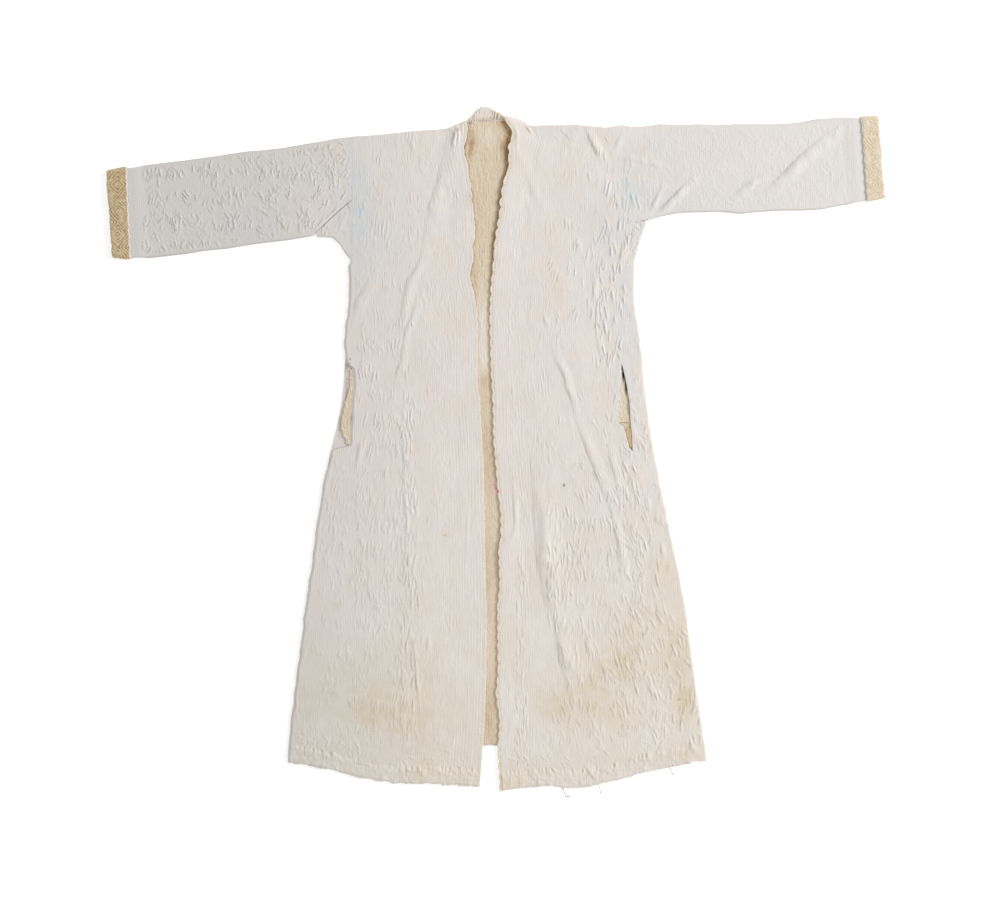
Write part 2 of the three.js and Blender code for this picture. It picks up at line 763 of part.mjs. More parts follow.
// Back panel: a flat sheet on the floor, joined to the strip that wraps over on the wearer's left
function backPanel() {
  const wrapLap = 16;
  const sheetLap = 10;
  const outline = [
    { y: -565, right: -373 },
    { y: -490, right: -367 },
    { y: -346, right: -349 },
    { y: -202, right: -329 },
    { y: -58, right: -308 },
    { y: 14, right: -292 },
    { y: 38, right: -285 },
    { y: 86, right: -276 },
    { y: 155, right: -270 },
    { y: 194, right: -272 },
    { y: 266, right: -263 },
    { y: 328, right: -264 },
    { y: 335, right: -258 },
    { y: 336, right: -258 },
    { y: 404, right: -258 },
    { y: 412, right: -258 },
    { y: 500, right: -258 },
    { y: 576, right: -258 },
  ];
  const columns = [-258, -205, -154, -75, -50, -28, -10, 13, 58, 72, 158, 212, 273];
  const shares = columns.map((x) => (x - columns[0]) / (columns[12] - columns[0]));
  const sheetRows = (z) =>
    outline.map(({ y, right }) => {
      const fold = read(LEFT_SIDE, "y", "fold", y);
      const left = y < WRAP_TOP ? fold - sheetLap : read(LEFT_SIDE, "y", "front", y);
      const up = smooth(y, 300, 576);
      const down = 1 - smooth(y, -565, -300);
      return shares.map((share) => {
        const x = mix(right, left, share);
        const topTurn = (read(BACK_SHOULDER, "x", "y", x) - 576) * up;
        const hemTurn = (read(BACK_HEM, "x", "y", x) + 565) * down;
        return new THREE.Vector3(x, y + topTurn + hemTurn, z);
      });
    });
  const sheet = wall(sheetRows(BACK_CLOTH), sheetRows(0));
  const sections = LEFT_SIDE.filter(({ y }) => y <= WRAP_TOP).map(({ y, wrap, fold }, i) =>
    foldedSection({
      seam: wrap + GAP,
      fold,
      seamBelow: fold - wrapLap,
      cloth: BACK_CLOTH,
      raise: 0.5 * (i % 2),
      at: (x, z) => new THREE.Vector3(x, y, z),
    }),
  );
  return joined(sheet, foldedPiece(sections));
}

// Back lining: lies on the back panel, with shallow channels where the opening shows it
function backLining() {
  const skirtRows = [-563, -500, -430, -350, -270, -190, -110, -50];
  const chestRows = [45, 113, 200, 284, 310, 336, 364, 404, 414, 466, 504, 540, 574];
  const rows = [...skirtRows, ...chestRows];
  const channelCount = 6;
  const hiddenEdge = -248;
  const at = (y, z, raised) => {
    const right = y > -60 ? hiddenEdge : read(RIGHT_SIDE, "y", "x", y) + 5;
    const underFold = read(LEFT_SIDE, "y", "fold", y) - 8;
    const left = y < WRAP_TOP ? underFold : read(LEFT_SIDE, "y", "front", y) - 4;
    const from = read(RIGHT_EDGE, "y", "x", y) + 1;
    const to = read(LEFT_EDGE, "y", "x", y) - 1;
    const places = [right, mix(right, from, 0.5)];
    for (let i = 0; i <= 2 * channelCount; i++) places.push(mix(from, to, i / (2 * channelCount)));
    places.push(to + 13, mix(to, left, 0.5), left);
    const up = smooth(y, 300, 574);
    const down = 1 - smooth(y, -563, -300);
    return places.map((x, j) => {
      const seamTop = j < places.length - 3 ? read(BACK_SHOULDER, "x", "y", x) - 4 : 566;
      const topTurn = (seamTop - 574) * up;
      const hemTurn = (read(BACK_HEM, "x", "y", x) + 3 + 563) * down;
      const channel = raised && y < 560 && j > 2 && j < places.length - 4 ? 0.5 * (j % 2) : 0;
      return new THREE.Vector3(x, y + topTurn + hemTurn, z + channel);
    });
  };
  const underside = (y) =>
    at(y, LINING_BASE, false).filter((_, j, all) => j % 3 === 0 || j === all.length - 1);
  return wall(
    rows.map((y) => at(y, LINING_BASE + LINING_CLOTH, true)),
    rows.map(underside),
  );
}

// Neck band: it lies on the lining at its seam and on the floor at its outer edge, with gathers
function neckBand() {
  const shares = [0, 0.3, 0.62, 1];
  const grid = (thickness) =>
    NECK_BAND.map((row, i) =>
      shares.map((share) => {
        const swell = Math.sin(Math.PI * (0.15 + 0.7 * share));
        const gather = thickness ? GATHER_HEIGHT * (i % 2) * swell : 0;
        const x = mix(row.outerX, row.innerX, share);
        const y = mix(row.outerY, row.innerY, share);
        const beyondSeam = y - read(BACK_SHOULDER, "x", "y", x);
        const base = FRONT_BASE * (1 - smooth(beyondSeam, 1, 10));
        return new THREE.Vector3(x, y, base + thickness + gather);
      }),
    );
  return wall(grid(FRONT_CLOTH), grid(0));
}

const rightFront = frontPanel({
  side: RIGHT_SIDE,
  sideColumn: "x",
  edge: RIGHT_EDGE,
  hem: RIGHT_HEM,
  shoulder: RIGHT_SHOULDER,
  folds: RIGHT_FRONT_FOLDS,
  inward: 1,
  roll: (y) => 1 + 2 * smooth(y, 250, 500),
});
const leftFront = frontPanel({
  side: LEFT_SIDE,
  sideColumn: "front",
  edge: LEFT_EDGE,
  hem: LEFT_HEM,
  shoulder: LEFT_SHOULDER,
  folds: LEFT_FRONT_FOLDS,
  inward: -1,
  roll: (y) => 2.5 + 3.5 * smooth(y, 200, 450),
});

const offWhite = () => cloth(0xddd5cb, 0.92);
const paleBack = () => cloth(0xd8cfc2, 0.92);
const ochre = () => cloth(0xcdbb9c, 0.95);
const cream = () => cloth(0xe2d5c2, 0.9);

add("back_panel", backPanel(), paleBack());
add("back_lining", backLining(), ochre());
add("front_right", rightFront.geometry, offWhite());
add("front_left", leftFront.geometry, offWhite());
add("binding_right", binding(rightFront.edgeLine, 1), cream());
add("binding_left", binding(leftFront.edgeLine, -1), cream());
add("sleeve_right", sleeve(RIGHT_SLEEVE, RIGHT_CUFF, RIGHT_SLEEVE_FOLDS), offWhite());
add("sleeve_left", sleeve(LEFT_SLEEVE, LEFT_CUFF, LEFT_SLEEVE_FOLDS), offWhite());
add("cuff_right", turnedCuff(RIGHT_SLEEVE, RIGHT_CUFF), ochre());
add("cuff_left", turnedCuff(LEFT_SLEEVE, LEFT_CUFF), ochre());
add("gusset_right", gusset(RIGHT_GUSSET), offWhite());
add("gusset_left", gusset(LEFT_GUSSET), offWhite());
add("neck_band", neckBand(), cream());
add("slit_facing_right", strip(RIGHT_FACING, LINING_BASE, TRIM_CLOTH, 0.5), ochre());
add("slit_facing_left", strip(LEFT_FACING, FRONT_BASE, TRIM_CLOTH, 0.5), ochre());
add("slit_tab_left", strip(LEFT_TAB, FRONT_BASE, TRIM_CLOTH, 0.4), ochre());

export default robe;
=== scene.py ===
# %% [markdown]
# # A quilted cotton robe, laid flat
# The robe lies on its back with its sleeves spread and its fronts almost meeting. It is made
# of two layers of off-white cotton, quilted together, and its yellowed lining shows only in
# the opening, on the turned-back cuffs and at the two side slits. Each sewn piece is a mesh
# of its own. Sizes in the tables are millimetres, in the frame of the CAD model.

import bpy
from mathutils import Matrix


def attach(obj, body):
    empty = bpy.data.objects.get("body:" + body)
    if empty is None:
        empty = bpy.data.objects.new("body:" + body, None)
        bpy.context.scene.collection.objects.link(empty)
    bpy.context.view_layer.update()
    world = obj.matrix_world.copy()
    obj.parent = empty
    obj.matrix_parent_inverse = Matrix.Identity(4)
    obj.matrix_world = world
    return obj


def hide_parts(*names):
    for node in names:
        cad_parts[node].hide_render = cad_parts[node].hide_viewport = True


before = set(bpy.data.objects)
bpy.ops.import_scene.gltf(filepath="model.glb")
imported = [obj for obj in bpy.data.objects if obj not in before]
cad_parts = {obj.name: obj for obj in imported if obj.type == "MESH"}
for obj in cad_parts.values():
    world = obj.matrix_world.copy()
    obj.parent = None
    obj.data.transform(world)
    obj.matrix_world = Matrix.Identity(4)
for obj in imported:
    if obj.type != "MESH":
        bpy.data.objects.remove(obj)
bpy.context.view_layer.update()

# %% Blender's modules
import math

import bmesh
import bpy
import numpy as np
from mathutils import Vector

MM = 0.001
rng = np.random.default_rng(23)
print("numpy", np.__version__)

# %% [markdown]
# ## The view
# The robe was photographed from straight above with a long lens, so its edges show no sides.
# A camera four metres up with an 80 mm lens frames 1.8 m of floor, which is the same view.
# The colours are shown as they are, with no film look laid over them.

# %% Camera
CAMERA_HEIGHT = 4.0
LENS = 80
VIEW_CENTRE = (0.0081, -0.0072)

camera = bpy.data.objects.new("camera", bpy.data.cameras.new("camera"))
camera.data.lens = LENS
camera.data.sensor_width = 36
camera.location = (*VIEW_CENTRE, CAMERA_HEIGHT)
bpy.context.scene.collection.objects.link(camera)
bpy.context.scene.camera = camera
bpy.context.scene.view_settings.view_transform = "Standard"
print("camera frames", CAMERA_HEIGHT * camera.data.sensor_width / LENS, "m")

# %% [markdown]
# ## Light
# The studio light is very soft, with a little more of it from the right. The world gives the
# even part. One large panel on the right draws the creases: their left flanks go dark.


# %% World and panel light
def set_world(strength):
    world = bpy.data.worlds.new("studio")
    world.use_nodes = True
    background = world.node_tree.nodes["Background"]
    background.inputs["Color"].default_value = (1.0, 1.0, 1.0, 1.0)
    background.inputs["Strength"].default_value = strength
    bpy.context.scene.world = world


def add_panel_light(name, place, aim, size, power):
    data = bpy.data.lights.new(name, "AREA")
    data.shape = "DISK"
    data.size = size
    data.energy = power
    panel = bpy.data.objects.new(name, data)
    panel.location = place
    panel.rotation_euler = (Vector(aim) - Vector(place)).to_track_quat("-Z", "Y").to_euler()
    bpy.context.scene.collection.objects.link(panel)
    return panel


set_world(strength=0.68)
add_panel_light("panel_right", (5.7, 1.9, 3.5), (0, 0, 0), size=2.8, power=360)


# %% [markdown]
# ## Node helpers
# Every finish is a small node tree. It could be wired node by node, but then its sums hide
# among the links. Here one helper makes a node, fills its inputs and links those that are
# given as sockets, so a finish reads from top to bottom.


# %% Helpers for nodes
def add_node(tree, kind, inputs=None, **settings):
    """A node with its settings. An input is a value, or another node's output socket."""
    made = tree.nodes.new(kind)
    for key, value in settings.items():
        setattr(made, key, value)
    for key, value in (inputs or {}).items():
        if isinstance(value, bpy.types.NodeSocket):
            tree.links.new(value, made.inputs[key])
        else:
            made.inputs[key].default_value = value
    return made


def calculate(tree, operation, first, second=0.0, third=0.0, clamp=False):
    inputs = {0: first, 1: second, 2: third}
    made = add_node(tree, "ShaderNodeMath", inputs, operation=operation, use_clamp=clamp)
    return made.outputs[0]


def blend_colours(tree, amount, first, second):
    """The first colour where amount is 0, the second where it is 1."""
    inputs = {0: amount, 6: first, 7: second}
    return add_node(tree, "ShaderNodeMix", inputs, data_type="RGBA").outputs[2]


def remap(tree, value, low, high, to_low=0.0, to_high=1.0):
    inputs = {0: value, 1: low, 2: high, 3: to_low, 4: to_high}
    return add_node(tree, "ShaderNodeMapRange", inputs).outputs[0]


def read_mark(tree, name):
    """A number that was painted on the mesh's points."""
    return add_node(tree, "ShaderNodeAttribute", attribute_name=name).outputs["Fac"]


NODE_HELPERS = (add_node, calculate, blend_colours, remap, read_mark)
print("node helpers:", ", ".join(helper.__name__ for helper in NODE_HELPERS))

# %% [markdown]
# ## Patterns
# Grain, threads and small spots sit still on real cloth. Object coordinates do the same,
# because each piece stays where it was made. A pattern's cells are given in millimetres, so
# its size can be set against the robe.


# %% Helpers for patterns
def stretched(tree, cell_x, cell_y, turn=0.0):
    """Object coordinates counted in cells of that many millimetres."""
    place = add_node(tree, "ShaderNodeTexCoord").outputs["Object"]
    scale = (1 / (cell_x * MM), 1 / (cell_y * MM), 1 / (cell_x * MM))
    inputs = {"Vector": place, "Scale": scale, "Rotation": (0, 0, turn)}
    return add_node(tree, "ShaderNodeMapping", inputs).outputs[0]


def noise(tree, cell_x, cell_y=None, detail=2.0, turn=0.0):
    inputs = {
        "Vector": stretched(tree, cell_x, cell_y or cell_x, turn),
        "Scale": 1.0,
        "Detail": detail,
    }
    return add_node(tree, "ShaderNodeTexNoise", inputs).outputs["Fac"]


def weave(tree, pitch):
    """Height of a plain weave: threads cross over and under at the given pitch."""
    place = add_node(tree, "ShaderNodeSeparateXYZ", {0: stretched(tree, pitch, pitch)})
    waves = [calculate(tree, "SINE", calculate(tree, "MULTIPLY", place.outputs[axis], math.pi))
             for axis in (0, 1)]
    return calculate(tree, "MULTIPLY", *waves)


def ripple(tree, pitch, axis):
    """Fine straight lines at a pitch, counted along one axis."""
    place = add_node(tree, "ShaderNodeSeparateXYZ", {0: stretched(tree, pitch, pitch)})
    turns = calculate(tree, "MULTIPLY", place.outputs[axis], 2 * math.pi)
    return calculate(tree, "SINE", turns)


def spot(tree, x, y, half_x, half_y):
    """1 within an ellipse on the plan, fading to 0 at its edge. Sizes are millimetres."""
    inputs = {
        "Vector": add_node(tree, "ShaderNodeTexCoord").outputs["Object"],
        "Location": (-x / half_x, -y / half_y, 0),
        "Scale": (1 / (half_x * MM), 1 / (half_y * MM), 0),
    }
    moved = add_node(tree, "ShaderNodeMapping", inputs).outputs[0]
    far = add_node(tree, "ShaderNodeVectorMath", {0: moved}, operation="LENGTH").outputs["Value"]
    return remap(tree, far, 0.5, 1.2, 1.0, 0.0)


def dab(tree, colour, table, paint):
    """Lays small spots of one paint over a colour. The table has x, y, half sizes, amount."""
    for x, y, half_x, half_y, amount in table:
        share = calculate(tree, "MULTIPLY", spot(tree, x, y, half_x, half_y), amount)
        colour = blend_colours(tree, share, colour, paint)
    return colour


def along_robe(tree, axis):
    """Distance in metres from the middle of the robe, across it for 0 and up it for 1."""
    place = add_node(tree, "ShaderNodeTexCoord").outputs["Object"]
    return add_node(tree, "ShaderNodeSeparateXYZ", {0: place}).outputs[axis]


PATTERNS = (noise, weave, ripple, spot)
print("patterns:", ", ".join(pattern.__name__ for pattern in PATTERNS))

# %% [markdown]
# ## What all the cotton shares
# Worn cotton has no shine, but its fuzz catches a little light at the edges. A Principled
# shader with high roughness and some sheen gives both. Colours are named as a screen shows
# them, and turned into the linear ones that a shader takes.


# %% Helpers for cotton
def bump(tree, height, distance, strength=1.0, normal=None):
    inputs = {"Height": height, "Distance": distance * MM, "Strength": strength}
    if normal is not None:
        inputs["Normal"] = normal
    return add_node(tree, "ShaderNodeBump", inputs).outputs[0]


def start_cloth(name, roughness, sheen):
    """A new material for dry cotton: no shine, and a little fuzz that catches the light."""
    material = bpy.data.materials.new(name)
    material.use_nodes = True
    shader = material.node_tree.nodes["Principled BSDF"]
    shader.inputs["Roughness"].default_value = roughness
    shader.inputs["Specular IOR Level"].default_value = 0.2
    shader.inputs["Sheen Weight"].default_value = sheen
    shader.inputs["Sheen Roughness"].default_value = 0.6
    return material, material.node_tree, shader


def linear(red, green, blue):
    """A screen colour, 0 to 255, as the linear colour that a shader takes."""
    parts = [c / 255 for c in (red, green, blue)]
    return (*[p / 12.92 if p <= 0.04045 else ((p + 0.055) / 1.055) ** 2.4 for p in parts], 1.0)


def finish_cloth(tree, shader, colour, crumple, pitch=0.7, depth=0.08):
    """The last step of a cotton finish: its colour, and its threads over its crumples."""
    tree.links.new(colour, shader.inputs["Base Color"])
    threads = bump(tree, weave(tree, pitch), depth, 0.5, crumple)
    tree.links.new(threads, shader.inputs["Normal"])


print("a cloth screen colour of 223 is", round(linear(223, 223, 223)[0], 3))

# %% [markdown]
# ## Floor
# The robe was laid on a white light table, so the floor shines a little by itself. Its glow
# thins the robe's shadows to a faint line at the edges.


# %% Floor
GLOW = 0.32
FLOOR_HALF_SIZE = 6
FLOOR_DROP = 0.4


def make_floor():
    bm = bmesh.new()
    bmesh.ops.create_grid(bm, x_segments=4, y_segments=4, size=FLOOR_HALF_SIZE)
    bmesh.ops.translate(bm, vec=(0, 0, -FLOOR_DROP * MM), verts=bm.verts)
    mesh = bpy.data.meshes.new("floor")
    bm.to_mesh(mesh)
    bm.free()
    floor = bpy.data.objects.new("floor", mesh)
    bpy.context.scene.collection.objects.link(floor)
    material, tree, shader = start_cloth("light_table", 0.9, 0.0)
    tint = remap(tree, noise(tree, 300), 0.3, 0.7, 0.96, 0.975)
    grey = add_node(tree, "ShaderNodeCombineColor", {0: tint, 1: tint, 2: tint}).outputs[0]
    tree.links.new(grey, shader.inputs["Base Color"])
    shader.inputs["Emission Color"].default_value = (1.0, 1.0, 1.0, 1.0)
    shader.inputs["Emission Strength"].default_value = GLOW
    mesh.materials.append(material)
    return floor


print("floor:", make_floor().name)

# %% [markdown]
# ## Cloth sizes
# These are the CAD model's own sizes: the thickness of each layer, the heights at which the
# layers lie, and the outlines of the pieces. A table has a list for each column.

# %% Layers
GAP = 0.3
FRONT_CLOTH = 2.4
BACK_CLOTH = 2.0
LINING_CLOTH = 1.0
TRIM_CLOTH = 1.6
LINING_BASE = BACK_CLOTH + GAP
FRONT_BASE = LINING_BASE + LINING_CLOTH + GAP
STACK = FRONT_BASE + FRONT_CLOTH
CHANNEL_PITCH = 5.4
CHANNEL_ZONE = 12 * CHANNEL_PITCH
BINDING_WIDTH = 6.0
BINDING_HEIGHT = 2.6
EDGE_ROLL_WIDTH = 45.0
CUFF_CLOTH = 2.2
WRAP_TOP = 336.0
print("height of the stacked layers:", round(STACK, 1), "mm")

# %% Outlines of the fronts
RIGHT_SIDE = {
    "y": [-565, -490, -418, -346, -274, -202, -130, -58, -4, 4, 38, 86, 113, 144, 152, 194,
          266, 328, 335, 400, 446, 500, 560],
    "x": [-373, -367, -358, -349, -340, -329, -319, -308, -295, -261, -260, -257, -253, -257,
          -269, -272, -263, -264, -258, -258, -258, -258, -258],
}
LEFT_SIDE = {
    "y": [-563, -490, -418, -346, -286, -238, -175, -115, -58, -6, 0, 38, 45, 86, 117, 155,
          194, 266, 336, 404, 412, 470, 525, 576],
    "x": [350, 345, 338, 324, 307, 293, 286, 271, 257, 246, 240, 230, 219, 221, 224, 226,
          229, 234, 238, 246, 273, 273, 273, 273],
    "wrap": [350, 345, 338, 324, 307, 293, 286, 271, 257, 246, 246, 243.5, 243, 240, 235, 226,
             229, 234, 238, 246, 273, 273, 273, 273],
    "fold": [381, 371, 360, 350, 342, 333, 320, 308, 296, 286, 285, 279, 278, 272, 268, 265,
             261, 250, 251, 246, 273, 273, 273, 273],
}
RIGHT_EDGE = {
    "y": [-610, -535, -493, -436, -320, -157, -31, 45, 90, 113, 241, 284, 310, 338, 364, 383,
          466, 504, 527, 541, 551, 561, 573, 587],
    "x": [-28, -22, -19, -17, -15, -19, -21, -26, -28, -32, -32, -39, -47, -40, -41, -36,
          -43, -49, -55, -56, -52, -53, -49, -51],
}
LEFT_EDGE = {
    "y": [-617, -590, -535, -486, -445, -401, -286, -247, -176, -167, -119, -67, 14, 74, 153,
          248, 310, 369, 423, 475, 499, 542, 561, 575, 588, 597],
    "x": [7, 6, 3, 6, -1, 3, 2, 6, 4, 8, 8, 2, -5, -6, -10,
          -12, -8, -3, 5, 12, 21, 23, 28, 26, 17, 12],
}
RIGHT_HEM = {
    "x": [-373, -309, -235, -181, -73, -28],
    "y": [-565, -576, -594, -603, -605, -610],
}
LEFT_HEM = {
    "x": [7, 62, 89, 125, 170, 224, 278, 350],
    "y": [-617, -610, -607, -612, -608, -596, -580, -567],
}
RIGHT_SHOULDER = {
    "x": [-258, -208, -154, -127, -101, -83, -77, -61, -51],
    "y": [560, 563, 569, 571, 572.5, 574, 576, 583, 588],
}
LEFT_SHOULDER = {
    "x": [12, 27, 43, 53, 58, 72, 143, 197, 224, 251, 273],
    "y": [597, 594.5, 589, 583, 578.5, 580, 581, 576, 581, 576, 579],
}

print("rows of the longest outline table:", len(LEFT_EDGE["y"]))

# %% Outlines of the back, the neck and the sleeves
BACK_HEM = {"x": [-373, -200, -10, 200, 381], "y": [-565, -546, -535, -546, -563]}
BACK_SHOULDER = {
    "x": [-258, -208, -154, -75, -60, -50, -28, -10, 13, 22, 58, 72, 143, 197, 273],
    "y": [560, 563, 569, 574, 580, 587, 592, 594, 592, 589, 576, 580, 581, 576, 579],
}
BACK_SIDE = {
    "y": [-565, -490, -346, -202, -58, 14, 38, 86, 155, 194, 266, 328, 335, 576],
    "x": [-373, -367, -349, -329, -308, -292, -285, -276, -270, -272, -263, -264, -258, -258],
}
NECK_BAND = {
    "outer_x": [-56, -51, -41, -35, -25, -13, -3, 9, 15, 20],
    "outer_y": [584, 588, 600, 608, 614.3, 614.3, 610, 602, 597, 594],
    "inner_x": [-53, -47, -37, -30, -23, -11, 1, 9, 14, 19],
    "inner_y": [578, 581, 583.7, 585.5, 587, 588.4, 587, 588, 588.4, 587],
}
RIGHT_SLEEVE = {
    "x": [-258.3, -280, -305, -330, -353, -381, -417, -453, -489, -525, -561, -597, -633,
          -663, -694],
    "high": [560, 558, 553, 549, 545, 540, 536, 533, 527, 522, 517, 513, 508, 506, 499],
    "low": [446, 427, 404, 381, 377, 373, 369, 364, 358, 355, 349, 345, 341, 339, 342],
}
LEFT_SLEEVE = {
    "x": [273.3, 296, 332, 368, 404, 440, 476, 512, 548, 584, 620, 656, 695],
    "high": [579, 583, 581, 583, 581, 583, 583, 583, 585, 592, 594, 597, 597],
    "low": [408, 416, 423, 424, 425, 421, 425, 427, 427, 429, 436, 441, 449],
}
RIGHT_CUFF = {"end_high": -700, "end_low": -689, "edge_high": -661, "edge_low": -654}
LEFT_CUFF = {"end_high": 689, "end_low": 701, "edge_high": 655, "edge_low": 666}
RIGHT_GUSSET = {
    "along": [-320, -305, -293, -280, -269, -258.8],
    "seam": [389, 403, 414, 426, 435.5, 444],
    "fold": [379, 379, 378, 366, 348, 336],
}
LEFT_GUSSET = {
    "along": [336.1, 356, 374, 389, 403, 407.4],
    "seam": [238.6, 241.5, 243.5, 245.5, 247, 259],
    "fold": [251, 257, 262, 268, 273, 273],
}
RIGHT_FACING = {
    "y": [7, 23, 38, 52, 67, 88, 103, 113, 141],
    "from": [-267, -273, -278, -277, -273, -269, -264, -261, -262],
    "to": [-262, -261.5, -261, -260.5, -259.5, -258, -255.5, -254, -257.5],
}
LEFT_FACING = {
    "y": [46, 59, 73, 86, 100, 117, 140],
    "from": [219.5, 220.2, 220.8, 221.5, 222.8, 224.5, 225.8],
    "to": [240, 239.5, 236, 237, 232, 227.5, 227.8],
}
LEFT_TAB = {"y": [2, 20, 36], "from": [241, 236, 231.5], "to": [245.4, 244.2, 242.8]}
print("the sleeves reach from", RIGHT_CUFF["end_high"], "to", LEFT_CUFF["end_low"], "mm")

# %% [markdown]
# ## Creases
# The robe has been folded and worn, so it has a few long soft folds and many short creases.
# Noise alone would scatter them evenly. Here the main ones are given one by one, where the
# cloth shows them. Each is a low ridge, steep on the side away from the light.

# %% Creases of the fronts and sleeves
CREASES = [
    # width and height in millimetres, then the points along the crease
    (30, 3.6, [(-76, 553), (-96, 470), (-111, 425), (-120, 374)]),
    (15, 3.4, [(-120, 374), (-139, 320), (-154, 299), (-163, 257), (-168, 212)]),
    (12, 3.0, [(-138, 270), (-148, 234), (-159, 212), (-165, 176), (-167, 155), (-177, 119)]),
    (6, 1.1, [(-163, 77), (-166, 14), (-163, -40), (-160, -154), (-153, -247), (-147, -342)]),
    (6, 1.6, [(-147, -342), (-141, -414), (-134, -492)]),
    (18, 3.2, [(-216, 308), (-235, 279), (-246, 259), (-253, 226)]),
    (10, 2.6, [(-243, 3), (-250, -37)]),
    (7, 1.9, [(-197, -37), (-198, -58)]),
    (7, 1.5, [(-201, 50), (-197, 27)]),
    (7, 1.3, [(-196, -127), (-180, -124), (-164, -126)]),
    (7, 1.5, [(-145, -126), (-139, -114)]),
    (7, 1.7, [(-244, -161), (-238, -179)]),
    (7, 1.4, [(-283, -214), (-278, -232)]),
    (7, 1.6, [(-167, -403), (-166, -425)]),
    (7, 1.8, [(-121, -342), (-121, -364)]),
    (9, 2.0, [(-143, -574), (-123, -594)]),
    (5, 0.9, [(-50, -104), (-53, -202)]),
    (7, 6.0, [(-80, 571), (-72, 564), (-78, 536)]),
    (6, 5.4, [(-70, 577), (-66, 563), (-68, 544)]),
    (5, 4.6, [(-60, 580), (-58, 562), (-62, 536)]),
    (5, 4.0, [(-75, 574), (-62, 570)]),
    (5, 4.6, [(56, 579), (64, 566)]),
    (7, 1.8, [(30, 588), (38, 560), (40, 520)]),
    (8, 1.4, [(-179, 553), (-175, 535)]),
    (8, 1.4, [(-152, 553), (-148, 534)]),
    (9, 1.4, [(-253, 446), (-194, 448)]),
    (16, 1.0, [(-203, 479), (-143, 507)]),
    (40, 5.6, [(79, -30), (82, -90), (84, -126), (90, -200), (102, -265), (118, -314)]),
    (30, 4.2, [(118, -314), (124, -364), (137, -421)]),
    (8, 2.0, [(95, -172), (98, -211)]),
    (8, 2.4, [(121, -300), (127, -325), (132, -356)]),
    (7, 1.5, [(100, -214), (129, -218)]),
    (7, 1.7, [(103, -254), (114, -272)]),
    (13, 3.0, [(105, 186), (110, 160), (127, 130), (130, 110), (138, 93), (148, 53)]),
    (16, 3.4, [(148, 53), (160, 20), (173, -14), (183, -37), (195, -70), (210, -107)]),
    (12, 2.6, [(210, -107), (218, -147), (228, -200), (232, -247)]),
    (12, 2.6, [(207, 0), (209, -23), (217, -47), (222, -73)]),
    (8, 1.8, [(87, 239), (92, 220)]),
    (9, 2.2, [(177, 306), (178, 283), (178, 259)]),
    (8, 1.8, [(211, 286), (210, 259)]),
    (8, 1.8, [(217, 239), (211, 216)]),
    (8, 1.6, [(208, 380), (205, 359)]),
    (8, 1.6, [(147, 373), (150, 359)]),
    (10, 1.6, [(183, 203), (192, 160)]),
    (11, 3.0, [(231, 366), (225, 329)]),
    (9, 2.4, [(33, -67), (37, -140), (29, -160), (10, -170)]),
    (13, 4.0, [(165, 572), (177, 548), (192, 519)]),
    (18, 2.4, [(143, 572), (130, 553)]),
    (7, 1.6, [(184, 486), (184, 466)]),
    (10, 3.2, [(228, 562), (213, 534)]),
    (9, 2.6, [(213, 524), (261, 517), (310, 502)]),
    (18, 1.5, [(44, 529), (73, 452), (86, 432)]),
    (9, 1.3, [(121, 544), (119, 509)]),
    (8, 1.8, [(166, -339), (168, -364)]),
    (9, 2.2, [(191, -385), (200, -407)]),
    (10, 2.6, [(274, -421), (285, -446)]),
    (8, 2.2, [(298, -172), (301, -196)]),
    (9, 2.2, [(346, -531), (362, -548)]),
    (7, 1.6, [(103, -436), (114, -449)]),
    (7, 1.6, [(136, -442), (145, -457)]),
    (7, 1.6, [(271, -129), (274, -147)]),
    (7, 1.6, [(276, -282), (280, -296)]),
    (9, 2.0, [(164, -574), (188, -604)]),
    (20, 8.0, [(498, 466), (522, 490), (551, 519), (580, 544), (618, 572)]),
    (13, 5.6, [(430, 452), (454, 471), (478, 482)]),
    (13, 6.4, [(285, 413), (305, 432), (330, 458), (353, 481)]),
    (10, 4.0, [(274, 424), (290, 446), (300, 470)]),
    (14, 1.2, [(609, 468), (639, 501)]),
    (12, 1.5, [(374, 572), (397, 569)]),
    (8, 5.4, [(-328, 386), (-318, 399), (-302, 411), (-286, 427), (-270, 437), (-246, 449)]),
    (7, 3.6, [(-318, 384), (-296, 388), (-278, 392)]),
    (6, 1.4, [(-246, 449), (-210, 452), (-176, 462)]),
    (14, 1.0, [(-330, 410), (-352, 440)]),
    (12, 0.9, [(-398, 470), (-420, 505)]),
]
EDGE_WOBBLE = 3.0
LIGHT_SIDE = np.array((0.9, 0.45))
STEEP_SHARE = 0.42
CREASE_DEPTH = 0.66
TIP_SHARE = 0.4
WRINKLE_DEPTH = 0.92
WRINKLE_STEEP_SHARE = 0.34
print("creases placed by hand:", len(CREASES))


# %% Helpers for shapes
def smooth(value, low, high):
    share = np.clip((value - low) / (high - low), 0, 1)
    return share * share * (3 - 2 * share)


def mix(first, second, share):
    return first + (second - first) * share


def read(table, place, column, at, soften=0.0):
    """A table's column at a place, straight between its rows, or softened over a distance."""
    order = np.argsort(table[place])
    places = np.array(table[place], float)[order]
    values = np.array(table[column], float)[order]
    if soften == 0:
        return np.interp(at, places, values)
    steps = np.linspace(-soften, soften, 9)
    return sum(np.interp(at + step, places, values) for step in steps) / len(steps)


def lattice_noise(x, y, cell_x, cell_y, seed):
    """Smooth noise from 0 to 1 with one random value for each cell."""
    table = np.random.default_rng(seed).random((64, 64))
    column, row = x / cell_x + 500, y / cell_y + 500
    i, j = np.floor(column).astype(int), np.floor(row).astype(int)
    across, up = smooth(column - i, 0, 1), smooth(row - j, 0, 1)
    corner = [[table[(i + a) % 64, (j + b) % 64] for b in (0, 1)] for a in (0, 1)]
    low = mix(corner[0][0], corner[1][0], across)
    high = mix(corner[0][1], corner[1][1], across)
    return mix(low, high, up)


